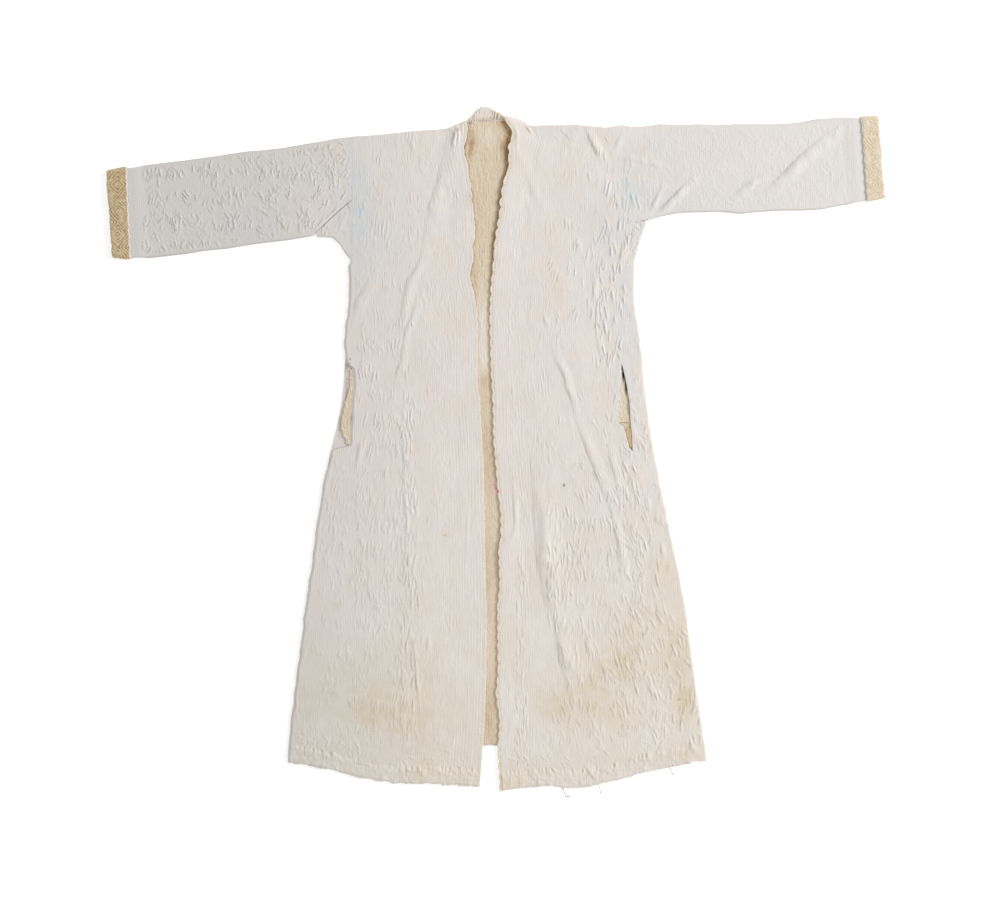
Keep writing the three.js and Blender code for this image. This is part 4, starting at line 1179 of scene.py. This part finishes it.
# %% [markdown]
# ## Cuffs
# Each sleeve end is turned back, so a ring of the quilted lining lies over it. A Solidify
# modifier would square the ring's ends. Instead its wall is one grid that runs along the
# outside, round the wrist end and back along the inside. The stitches scallop its inner edge.

# %% Quilting of the cuffs
DIAMOND_HEIGHT = 45.0
DIAMOND_LINES = 6.4
CUFF_MIDDLE = 678.0


def diamonds(x, y):
    """1 on the lines of nested diamonds that are stitched round a cuff, 0 between them."""
    up = abs(y % DIAMOND_HEIGHT - DIAMOND_HEIGHT / 2)
    wander = 4.5 * lattice_noise(x, y, 13, 13, 17) + 1.6 * lattice_noise(x, y, 4.5, 4.5, 18)
    far = 1.1 * abs(abs(x) - CUFF_MIDDLE) + up + wander
    worn = smooth(lattice_noise(x, y, 6, 6, 19), 0.05, 0.6)
    return mix(0.35, 0.5 + 0.5 * np.cos(2 * math.pi * far / DIAMOND_LINES), worn)


print("lines in each diamond:", round(DIAMOND_HEIGHT / 2 / DIAMOND_LINES, 1))

# %% Cuffs
CUFF_PROFILE = {
    "run": [0, 0.03, 0.08, 0.50, 0.54, 0.57, 0.60, 0.63, 0.66, 0.97, 1.0],
    "share": [1.0, 1.0, 0.97, 0.05, 0.01, 0.0, 0.0, 0.04, 0.064, 1.0, 1.0],
    "inset": [1.1, 0.3, 0.0, 0.0, 0.8, 2.0, 4.7, 4.7, 2.2, 2.2, 1.1],
}
CUFF_SCALLOPS = 17
CUFF_SCALLOP_DEPTH = 1.8


def cuff_shape(table, cuff, seed):
    """along runs down the outside to the wrist end and back up the inside."""
    end = table["x"][-1]
    side = np.sign(end)
    total = SLEEVE_HEIGHT + 2 * (CUFF_CLOTH + GAP)
    edge = (cuff["edge_high"] + cuff["edge_low"]) / 2

    def shape(around, along, under):
        share = read(CUFF_PROFILE, "run", "share", along)
        inset = read(CUFF_PROFILE, "run", "inset", along)
        row_x = mix(end, edge, share)
        low = read(table, "x", "low", row_x) + inset
        high = read(table, "x", "high", row_x) - inset
        y, z, on_top = flat_tube(around, low, high, inset, total - 2 * inset)
        up = (y - low) / (high - low)
        ends = mix(cuff["end_low"], cuff["end_high"], up)
        edges = mix(cuff["edge_low"], cuff["edge_high"], up)
        waves = abs(np.sin(CUFF_SCALLOPS / 2 * math.pi * up)) * smooth(share, 0.8, 1)
        x = mix(ends, edges, share) + side * CUFF_SCALLOP_DEPTH * waves
        x = x + 2.4 * (lattice_noise(y, y, 11, 11, seed + 2) - 0.5) * (1 - smooth(share, 0, 0.5))
        outside = on_top & (along < 0.5)
        quilting = 0.9 - 0.9 * diamonds(x, y) + 0.7 * lattice_noise(x, y, 4, 4, seed)
        inner_edge = smooth(1 - share, 0, 0.1)
        return x, y, z + np.where(outside, quilting * inner_edge, 0)
    return shape


def along_cuff(x, y, across, along):
    return read(CUFF_PROFILE, "run", "share", along)


def stitched(x, y, across, along):
    return diamonds(x, y)


CUFF_MARKS = [("along_cuff", along_cuff), ("stitched", stitched)]
make_cloth(
    "turned_cuff_right", 150, 60, cuff_shape(RIGHT_SLEEVE, RIGHT_CUFF, 71),
    ["cuff_right"], (330, 42),
    two_sided=False, marks=CUFF_MARKS,
)
make_cloth(
    "turned_cuff_left", 150, 60, cuff_shape(LEFT_SLEEVE, LEFT_CUFF, 81),
    ["cuff_left"], (310, 37),
    two_sided=False, marks=CUFF_MARKS,
)

# %% [markdown]
# ## Underarm gussets and the wrapped back
# Some pieces are folded along a free edge: the underarm gussets, and the back on the
# wearer's left, where it laps over to the front. Bending a finished sheet would stretch its
# puckers, so a grid is laid round the fold first and gets its relief afterwards.

# %% Section of a folded piece
FOLD_TURNS = (0.4, 0.56)
LOWER_LEAF = 16


def folded_section(around, seam, fold, seam_below):
    """Place and height from the lower leaf, round the fold, to the seam on top."""
    radius = STACK / 2
    side = np.sign(fold - seam)
    centre = fold - side * radius
    a, b = FOLD_TURNS
    turn = math.pi * ((around - a) / (b - a) - 0.5)
    runs = [around < a, around < b, around >= b]
    place = np.select(runs, [
        mix(seam_below, centre, around / a),
        centre + side * radius * np.cos(turn),
        mix(centre, seam, (around - b) / (1 - b)),
    ])
    level = np.select(runs, [0 * around, radius + radius * np.sin(turn), 2 * radius + 0 * around])
    return place, level, around > b


print("share of a folded piece's columns in its fold:", round(FOLD_TURNS[1] - FOLD_TURNS[0], 2))


# %% Underarm gussets
def gusset_shape(table, upright, box, seed):
    """A gusset's rows lie across the sleeve, or across the body where it is upright."""
    def shape(around, along, under):
        row = mix(table["along"][0] - SEAM_LAP, table["along"][-1], along)
        fold = read(table, "along", "fold", row)
        seam = read(table, "along", "seam", row)
        seam = seam + SEAM_LAP * np.sign(seam - fold)
        place, z, on_top = folded_section(around, seam, fold, seam)
        x, y = (place, row) if upright else (row, place)
        from_seam = abs(place - seam)
        wrinkles = scatter_wrinkles(x, y, 26, box, (8, 24), (2.4, 5), (0.5, 1.6), 0.6)
        puckers = pucker_height(x, y, seed) + wrinkles + crease_height(x, y)
        puckers = puckers * mix(0.3, 1, smooth(from_seam, 0, 3))
        puckers += seam_puckers(row, from_seam, seed + 1)
        return x, y, z + np.where(on_top, puckers, 0)
    return shape


make_cloth(
    "underarm_gusset_right", 40, 40,
    gusset_shape(RIGHT_GUSSET, False, (-318, 345, -262, 440), 91),
    ["gusset_right"], (90, 90), area=0.0056,
    two_sided=False, thickness=2.0, marks=COTTON_MARKS,
)
make_cloth(
    "underarm_gusset_left", 36, 40,
    gusset_shape(LEFT_GUSSET, True, (240, 342, 272, 402), 93),
    ["gusset_left"], (52, 64), area=0.0026,
    two_sided=False, thickness=2.0, marks=COTTON_MARKS,
)

# %% Wrapped back
WRAP_WRINKLES = [
    # count, box, length, width, height, lean, lying
    (90, (255, -540, 380, 60), (7, 20), (2.2, 4.4), (0.7, 1.9), 0.45),
    (70, (235, -560, 380, 330), (6, 16), (2.0, 3.6), (0.4, 1.3), 0.5),
    (22, (240, 20, 272, 250), (7, 16), (2.4, 4.4), (0.6, 1.5), 0.5, True),
]


def wrap_shape(around, along, under):
    """The back's side on the wearer's left, from its lower leaf round to the side seam."""
    y = mix(LEFT_SIDE["y"][0], WRAP_TOP, along)
    seam = read(LEFT_SIDE, "y", "wrap", y) + GAP
    fold = read(LEFT_SIDE, "y", "fold", y, soften=5)
    place, z, on_top = folded_section(around, seam, fold, fold - LOWER_LEAF)
    from_seam = abs(place - seam)
    relief = pucker_height(place, y, 95) + wrinkle_height(place, y, WRAP_WRINKLES)
    relief = (relief + crease_height(place, y)) * mix(0.3, 1, smooth(from_seam, 0, 3))
    relief += seam_puckers(y, from_seam, 34)
    fray = 1.6 * (lattice_noise(y, y, 14, 14, 96) - 0.5) * smooth(from_seam, 20, 28)
    return place + fray, y, z + np.where(on_top, relief, 0)


make_cloth(
    "back_wrap", 40, 240, wrap_shape,
    ["back_panel"], (90, 900), area=0.052,
    two_sided=False, thickness=1.9, marks=COTTON_MARKS,
)

# %% [markdown]
# ## Back and lining
# The back lies flat on the floor, under everything. The lining lies on it, and shows as a
# long ochre strip in the opening, with fine channels of its own. An even grid would spend its
# points where the fronts hide it, so its columns are crowded in the opening instead.

# %% Back
BACK_LOW, BACK_TOP = BACK_SIDE["y"][0], BACK_SIDE["y"][-1]
TURN_FROM = 300


def back_shape(across, along, under):
    """The curves of its hem and shoulders die out TURN_FROM away from the robe's middle."""
    y = mix(BACK_LOW, BACK_TOP, along)
    right = read(BACK_SIDE, "y", "x", y)
    wrapped = read(LEFT_SIDE, "y", "fold", y) - LOWER_LEAF - GAP
    left = np.where(y < WRAP_TOP, wrapped, read(LEFT_SIDE, "y", "x", y))
    x = mix(right, left, across)
    top_turn = (read(BACK_SHOULDER, "x", "y", x) - BACK_TOP) * smooth(y, TURN_FROM, BACK_TOP)
    hem_turn = (read(BACK_HEM, "x", "y", x) - BACK_LOW) * (1 - smooth(y, BACK_LOW, -TURN_FROM))
    return x, y + top_turn + hem_turn, np.where(under, 0.0, BACK_CLOTH)


make_cloth("back_cloth", 80, 100, back_shape, ["back_panel"], (760, 1158),
           area=0.73)

# %% Lining
LINING_LOW_Y, LINING_TOP_Y = -563, 574
LINING_RIGHT_X = -248
OPENING_SHARES = (0.12, 0.9)
RIB_PITCH = 4.5


def lining_shape(across, along, under):
    """Its shares before and after OPENING_SHARES are hidden under the fronts."""
    first, last = OPENING_SHARES
    y = mix(LINING_LOW_Y, LINING_TOP_Y, along)
    right = np.where(y > -60, LINING_RIGHT_X, read(RIGHT_SIDE, "y", "x", y) + 5)
    hidden_left = read(LEFT_SIDE, "y", "fold", y) - 8
    left = np.where(y < WRAP_TOP, hidden_left, read(LEFT_SIDE, "y", "x", y) - 4)
    start = read(RIGHT_EDGE, "y", "x", y) - 8
    stop = read(LEFT_EDGE, "y", "x", y) + 12
    x = mix(right, start, np.clip(across / first, 0, 1))
    x = np.where(across > first, mix(start, stop, (across - first) / (last - first)), x)
    x = np.where(across > last, mix(stop, left, (across - last) / 0.1), x)
    seam_top = np.where(x < stop + 2, read(BACK_SHOULDER, "x", "y", x) - 3.2, 566)
    top_turn = (seam_top - LINING_TOP_Y) * smooth(y, TURN_FROM, LINING_TOP_Y)
    above_back = read(BACK_HEM, "x", "y", x) + 3
    hem_turn = (above_back - LINING_LOW_Y) * (1 - smooth(y, LINING_LOW_Y, -TURN_FROM))
    y = y + top_turn + hem_turn
    in_opening = (across > first) & (across < last)
    ribs = 0.5 + 0.5 * np.cos(2 * math.pi * x / RIB_PITCH + 3 * lattice_noise(x, y, 30, 80, 5))
    ribs = ribs * smooth(lattice_noise(x, y, 8, 24, 8), 0.3, 0.9)
    crinkle = abs(lattice_noise(x, y, 3.8, 7.0, 6) - 0.5) * 2 * mix(0.4, 1, smooth(y, 100, 260))
    steep_hem = np.sin((x + y) / 1.3) * (1 - smooth(y, -515, -500))
    relief = np.where(in_opening, 0.3 * ribs + 1.1 * crinkle + 0.5 * steep_hem, 0)
    return x, y, LINING_BASE + np.where(under, 0, LINING_CLOTH + relief)


make_cloth("lining_cloth", 128, 280, lining_shape, ["back_lining"], (741, 1150),
           area=0.71, marks=LINING_MARKS)

# %% [markdown]
# ## Neck band
# A strip is gathered at the back of the neck and stands a little proud. Its gathers are
# uneven, closest together on the wearer's left of the middle. An array of equal gathers would
# look machine made, so a sine runs along the strip and noise shifts and weakens it.

# %% Neck band
GATHERS = 17


def neck_shape(across, along, under):
    """across runs along the band, and along runs from its outer edge to its inner one."""
    at = across * (len(NECK_BAND["outer_x"]) - 1)
    rows = np.arange(len(NECK_BAND["outer_x"]))
    place = {key: np.interp(at, rows, values) for key, values in NECK_BAND.items()}
    x = mix(place["outer_x"], place["inner_x"], along)
    y = mix(place["outer_y"], place["inner_y"], along)
    beyond = y - read(BACK_SHOULDER, "x", "y", x)
    base = FRONT_BASE * (1 - smooth(beyond, 1, 10))
    swell = smooth(along, 0, 0.25) * smooth(1 - along, 0, 0.25)
    taper = smooth(across, 0, 0.15) * smooth(1 - across, 0, 0.15)
    turns = GATHERS * across + 1.8 * along + lattice_noise(x, y, 8, 8, 7)
    gathers = 1 - abs(np.sin(math.pi * turns))
    crowd = mix(0.15, 1.0, np.exp(-((x - 2) / 11) ** 2) + np.exp(-((x + 44) / 9) ** 2))
    crinkle = lattice_noise(x, y, 3.4, 5.0, 9)
    relief = (3.0 * gathers * crowd + 0.9 * crinkle) * swell * taper
    rounded_off = 1.7 * (1 - smooth(along, 0, 0.16)) + 1.6 * smooth(along, 0.6, 1)
    return x, y, base + np.where(under, 0, FRONT_CLOTH + relief - rounded_off)


make_cloth("gathered_neck_band", 120, 24, neck_shape, ["neck_band"], (96, 19),
           marks=COTTON_MARKS)

# %% [markdown]
# ## Slit facings
# At each side slit a frayed strip of the lining has turned out. On the wearer's left a loose
# tab of it hangs on below. All three are narrow, crinkled strips with uneven edges, so one
# function makes them from a table of their two edges.

# %% Slit facings and tab
def strip_shape(table, base, frayed, seed):
    """A strip between the two edges of a table. frayed is how far its outer edge wanders."""
    def shape(across, along, under):
        y = mix(table["y"][0], table["y"][-1], along)
        start = read(table, "y", "from", y, soften=2)
        stop = read(table, "y", "to", y, soften=2)
        fray = frayed * (lattice_noise(y, y, 3.5, 3.5, seed) - 0.5)
        narrow = smooth(along, 0, 0.03) * smooth(1 - along, 0, 0.03)
        fraying = fray * narrow * np.minimum(1, (stop - start) / 4)
        x = mix(start + fraying, stop, across)
        crinkle = abs(lattice_noise(x, y, 2.6, 4.6, seed + 1) - 0.5) * 2
        return x, y, base + np.where(under, 0, TRIM_CLOTH + 1.1 * crinkle)
    return shape


make_cloth("turned_facing_right", 16, 120, strip_shape(RIGHT_FACING, LINING_BASE, 3.2, 101),
           ["slit_facing_right"], (16, 134), area=0.00152,
           marks=LINING_MARKS)
make_cloth("slit_lining_left", 16, 92, strip_shape(LEFT_FACING, FRONT_BASE, 1.6, 111),
           ["slit_facing_left"], (16, 94), area=0.00105,
           marks=LINING_MARKS)
make_cloth("loose_tab_left", 12, 40, strip_shape(LEFT_TAB, FRONT_BASE, 1.6, 121),
           ["slit_tab_left"], (10, 34), area=0.0003,
           marks=LINING_MARKS)

# %% [markdown]
# ## Loose threads
# Three sewing threads have come loose at the hem. They could be curves with a round bevel.
# As a mesh they need no conversion for the export: a ring of six points is drawn out along
# each path, one step at a time.

# %% Threads
THREAD_RADIUS = 0.7
THREADS = [
    [(112, -600, 6.6), (117, -606, 6.0), (121, -612, 1.6), (124, -620, 0.9), (128, -628, 0.8),
     (134, -626, 0.8)],
    [(182, -598, 6.6), (186, -606, 5.6), (188, -613, 1.2), (189, -622, 0.8)],
    [(307, -566, 6.6), (312, -573, 5.4), (316, -581, 1.2), (320, -588, 0.8)],
]


def make_threads(name, paths):
    bm = bmesh.new()
    for path in paths:
        points = [Vector(point) * MM for point in path]
        circle = bmesh.ops.create_circle(bm, cap_ends=False, segments=6, radius=THREAD_RADIUS * MM)
        ring = circle["verts"]
        bmesh.ops.translate(bm, vec=points[0], verts=ring)
        edges = [edge for edge in bm.edges if edge.verts[0] in ring]
        for before, after in zip(points, points[1:]):
            made = bmesh.ops.extrude_edge_only(bm, edges=edges)["geom"]
            edges = [part for part in made if isinstance(part, bmesh.types.BMEdge)]
            moved = [part for part in made if isinstance(part, bmesh.types.BMVert)]
            bmesh.ops.translate(bm, vec=after - before, verts=moved)
    bmesh.ops.holes_fill(bm, edges=[edge for edge in bm.edges if edge.is_boundary])
    bmesh.ops.recalc_face_normals(bm, faces=bm.faces)
    mesh = bpy.data.meshes.new(name)
    bm.to_mesh(mesh)
    bm.free()
    mesh.shade_smooth()
    piece = bpy.data.objects.new(name, mesh)
    bpy.context.scene.collection.objects.link(piece)
    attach(piece, "root")
    print(name, len(mesh.polygons), "faces")
    return piece


make_threads("loose_threads", THREADS)

# %% [markdown]
# ## Finishes
# The cotton is a dry off-white with a plain weave, a mottled tint, the painted stains and some
# painted shade. The lining has gone ochre, darker at the neck, where painted shadow of the left
# front's edge adds to it. An image of the cloth would repeat and blur close up, so all of this is
# made with nodes. The weave is far finer than the mesh, so it is bump in the material, and the
# folds and puckers are in the mesh.


# %% Colours
COTTON_PALE = (225, 218, 211)
COTTON_WARM = (222, 212, 200)
COTTON_COOL = (219, 214, 213)
COTTON_GREY = (208, 200, 192)
STAIN = (206, 189, 153)
SLEEVE_GREY = (203, 200, 196)
SLEEVE_PALE = (214, 211, 208)
SHADE = (160, 147, 132)
RIM_SHADE_GREY = (150, 150, 150)
THREAD = (150, 144, 138)
BLUE_TINT = (196, 206, 212)
LINING_LOW = (222, 206, 184)
LINING_HIGH = (216, 201, 178)
LINING_GRAIN = (196, 176, 148)
LINING_PATCH = (222, 214, 200)
LINING_STAIN_AND_SHADOW = (162, 126, 84)
BINDING_PALE = (228, 219, 206)
BINDING_WARM = (219, 204, 182)
PINK = (236, 150, 200)
DARK_SPOT_AND_RIP_SHADE = (96, 74, 52)
SLIT_GAP_SHADE = (42, 30, 22)
print("the cotton is between", COTTON_PALE, "and", COTTON_WARM)

# %% Small marks
# Small dark spots. The two at x -261 and -262 are painted shade in small rips at the top of the slit on
# the wearer's right.
SMALL_SPOTS_AND_RIP_SHADE = [
    # x, y, half width, half height, amount
    (123, -67, 2.6, 3.4, 0.7), (-91, -157, 4, 2, 0.2),
    (-261, 160, 1.8, 2.2, 0.9), (-262, 152, 1.6, 1.8, 0.8), (330, -452, 3, 3, 0.3),
]
PINK_SPOTS = [
    (-26.5, -53, 2.4, 4.5, 0.9), (-8, -58, 2.2, 3.0, 0.6), (-4, -66, 2.6, 3.0, 0.9),
    (0, -72, 2.6, 3.0, 0.9), (4.5, -78, 2.4, 4.0, 0.8), (-6, -82, 2.0, 3.0, 0.6),
]
SHADED_EDGES = [
    (-268, 96, 3.6, 46, 0.7), (-281, 40, 2.6, 26, 0.6), (-266, 150, 3.4, 14, 0.5),
    (-299, -14, 4.0, 20, 0.5), (6, 597, 9, 8, 0.45), (-22, 588, 18, 2.5, 0.45),
    (-45, 583, 6, 4, 0.5), (14, 592, 5, 5, 0.6), (-68, 572, 5, 4, 0.4), (-74, 563, 2.5, 9, 0.35),
]
# Painted shadow: dark spots on the lining where the slit on the wearer's left gapes and its inside lies
# in shade.
SLIT_GAP_SHADOWS = [
    (230.5, 137, 3.6, 19, 1.0), (235, 112, 3.0, 18, 0.85), (241.5, 84, 2.0, 26, 0.6),
]
print("small spots:", len(SMALL_SPOTS_AND_RIP_SHADE), "pink:", len(PINK_SPOTS), "dark gaps:", len(SLIT_GAP_SHADOWS))


# %% Off-white quilted cotton
COOL_FADE = (-0.45, 0.2)
RIGHT_SLEEVE_FADE = (-0.10, -0.42)
LEFT_SLEEVE_FADE = (0.24, 0.34)
LEFT_SLEEVE_LEVEL = (0.3, 0.45)


def quilted_cotton():
    """Mottled off-white, cooler near the neck and on the sleeves, with stains and tints, and painted
    shade at some edges and along the sleeves' long edges.
    """
    material, tree, shader = start_cloth("off_white_quilted_cotton", 0.92, 0.12)
    mottle = remap(tree, noise(tree, 60, 90, 3), 0.35, 0.65)
    colour = blend_colours(tree, mottle, linear(*COTTON_PALE), linear(*COTTON_WARM))
    upper = remap(tree, along_robe(tree, 1), *COOL_FADE, 0.1, 0.6)
    cool = calculate(tree, "MULTIPLY", upper, remap(tree, noise(tree, 70, 50, 4), 0.35, 0.6))
    colour = blend_colours(tree, cool, colour, linear(*COTTON_COOL))
    streak = remap(tree, noise(tree, 4, 22, 4), 0.42, 0.7, 0, 0.42)
    colour = blend_colours(tree, streak, colour, linear(*COTTON_GREY))
    patches = remap(tree, noise(tree, 20, 18, 6), 0.34, 0.62, 0.4, 1)
    stain = calculate(tree, "MULTIPLY", read_mark(tree, "stain"), patches, clamp=True)
    colour = blend_colours(tree, stain, colour, linear(*STAIN))
    tint = calculate(tree, "MULTIPLY", read_mark(tree, "tint"), patches)
    tint = calculate(tree, "MULTIPLY", tint, 0.95)
    colour = blend_colours(tree, tint, colour, linear(*BLUE_TINT))
    colour = dab(tree, colour, SHADED_EDGES, linear(*SHADE))
    # Small dark spots, two of them painted shade in rips.
    colour = dab(tree, colour, SMALL_SPOTS_AND_RIP_SHADE, linear(*DARK_SPOT_AND_RIP_SHADE))
    right_sleeve = remap(tree, along_robe(tree, 0), *RIGHT_SLEEVE_FADE, 0, 0.85)
    colour = blend_colours(tree, right_sleeve, colour, linear(*SLEEVE_GREY))
    left_sleeve = remap(tree, along_robe(tree, 0), *LEFT_SLEEVE_FADE, 0, 0.65)
    level = remap(tree, along_robe(tree, 1), *LEFT_SLEEVE_LEVEL)
    left_sleeve = calculate(tree, "MULTIPLY", left_sleeve, level)
    colour = blend_colours(tree, left_sleeve, colour, linear(*SLEEVE_PALE))
    # Painted shade along the long edges of the sleeves.
    rim = calculate(tree, "MULTIPLY", read_mark(tree, "rim"), 0.25)
    colour = blend_colours(tree, rim, colour, linear(*RIM_SHADE_GREY))
    upright = calculate(tree, "MULTIPLY", ripple(tree, 3.9, 0),
                        remap(tree, noise(tree, 24, 34, 2), 0.46, 0.6))
    lying = calculate(tree, "MULTIPLY", ripple(tree, 4.1, 1),
                      remap(tree, noise(tree, 30, 18, 2, turn=0.4), 0.6, 0.7))
    fine_lines = bump(tree, calculate(tree, "ADD", upright, lying), 0.16, 0.5)
    finish_cloth(tree, shader, colour, bump(tree, noise(tree, 3.2, 5.0, 4), 0.9, 0.5, fine_lines))
    return material


cotton = quilted_cotton()
print("the cotton has", len(cotton.node_tree.nodes), "nodes")


# %% Ochre lining and cuffs
def ochre_lining(name, low, high):
    """Yellowed cotton, of one colour near the hem and another near the neck, with painted shadow along an
    edge and in a gaping slit.
    """
    material, tree, shader = start_cloth(name, 0.93, 0.1)
    up = remap(tree, along_robe(tree, 1), -0.35, 0.3)
    colour = blend_colours(tree, up, linear(*low), linear(*high))
    grain = remap(tree, noise(tree, 3, 5, 4), 0.35, 0.65)
    colour = blend_colours(tree, calculate(tree, "MULTIPLY", grain, 0.4), colour,
                           linear(*LINING_GRAIN))
    colour = blend_colours(tree, read_mark(tree, "pale"), colour, linear(*LINING_PATCH))
    # The stain mark here is stains and the painted shadow along the left front's edge.
    patches = remap(tree, noise(tree, 7, 12, 4), 0.3, 0.55, 0.3, 1)
    stain = calculate(tree, "MULTIPLY", read_mark(tree, "stain"), patches, clamp=True)
    colour = blend_colours(tree, stain, colour, linear(*LINING_STAIN_AND_SHADOW))
    colour = dab(tree, colour, PINK_SPOTS, linear(*PINK))
    # Painted shade inside the gaping slit.
    colour = dab(tree, colour, SLIT_GAP_SHADOWS, linear(*SLIT_GAP_SHADE))
    finish_cloth(tree, shader, colour, bump(tree, noise(tree, 2.6, 3.6, 4), 1.2, 0.7))
    return material


def cuff_lining(name, pale, dark):
    """Quilted lining of a cuff, darker along its stitched rows and pale at its inner edge."""
    material, tree, shader = start_cloth(name, 0.93, 0.1)
    grain = remap(tree, noise(tree, 3, 3, 4), 0.35, 0.65)
    colour = blend_colours(tree, calculate(tree, "MULTIPLY", grain, 0.5), linear(*pale),
                           linear(*dark))
    rows = remap(tree, read_mark(tree, "stitched"), 0.4, 0.9, 0, 1.0)
    colour = blend_colours(tree, rows, colour, linear(*dark))
    along = read_mark(tree, "along_cuff")
    colour = blend_colours(tree, remap(tree, along, 0.9, 0.97, 0, 0.75), colour,
                           linear(*COTTON_PALE))
    colour = blend_colours(tree, remap(tree, along, 0.1, 0.02, 0, 0.5), colour,
                           linear(*COTTON_PALE))
    finish_cloth(tree, shader, colour, bump(tree, noise(tree, 2.2, 3.2, 3), 1.0, 0.8))
    return material


lining = ochre_lining("ochre_lining", LINING_LOW, LINING_HIGH)
print("the lining has", len(lining.node_tree.nodes), "nodes")


# %% Cream binding and grey thread
def cream_binding():
    """Plain cream cotton with a fine weave, and the same pink dots as the lining."""
    material, tree, shader = start_cloth("cream_binding", 0.9, 0.12)
    grain = remap(tree, noise(tree, 4, 7, 3), 0.35, 0.65)
    colour = blend_colours(tree, grain, linear(*BINDING_PALE), linear(*BINDING_WARM))
    colour = dab(tree, colour, PINK_SPOTS, linear(*PINK))
    crumple = bump(tree, noise(tree, 2.4, 2.4, 3), 0.8, 0.7)
    finish_cloth(tree, shader, colour, crumple, pitch=0.6, depth=0.06)
    return material


def grey_thread():
    """Off-white sewing thread that looks grey against the light table, with a fine twist."""
    material, tree, shader = start_cloth("grey_thread", 0.9, 0.0)
    grain = remap(tree, noise(tree, 2, 2, 2), 0.35, 0.65)
    colour = blend_colours(tree, grain, linear(*THREAD), linear(*COTTON_GREY))
    tree.links.new(colour, shader.inputs["Base Color"])
    twist = bump(tree, ripple(tree, 0.8, 1), 0.05, 0.5)
    tree.links.new(twist, shader.inputs["Normal"])
    return material


binding = cream_binding()
print("the binding has", len(binding.node_tree.nodes), "nodes")

# %% Give each piece its finish
TAB_OCHRE = (200, 172, 128)
FINISHES = {
    "quilted_front_right": cotton,
    "quilted_front_left": cotton,
    "quilted_sleeve_right": cotton,
    "quilted_sleeve_left": cotton,
    "underarm_gusset_right": cotton,
    "underarm_gusset_left": cotton,
    "back_wrap": cotton,
    "back_cloth": cotton,
    "lining_cloth": lining,
    "turned_facing_right": lining,
    "slit_lining_left": lining,
    "loose_tab_left": ochre_lining("ochre_tab", TAB_OCHRE, TAB_OCHRE),
    "binding_strip_right": cotton,
    "binding_strip_left": binding,
    "gathered_neck_band": cotton,
    "loose_threads": grey_thread(),
    "turned_cuff_right": cuff_lining("ochre_cuff", (212, 194, 160), (158, 128, 84)),
    "turned_cuff_left": cuff_lining("pale_cuff", (222, 210, 190), (200, 182, 152)),
}
for name, finish in FINISHES.items():
    bpy.data.objects[name].data.materials.append(finish)
print("finishes:", len(set(FINISHES.values())))
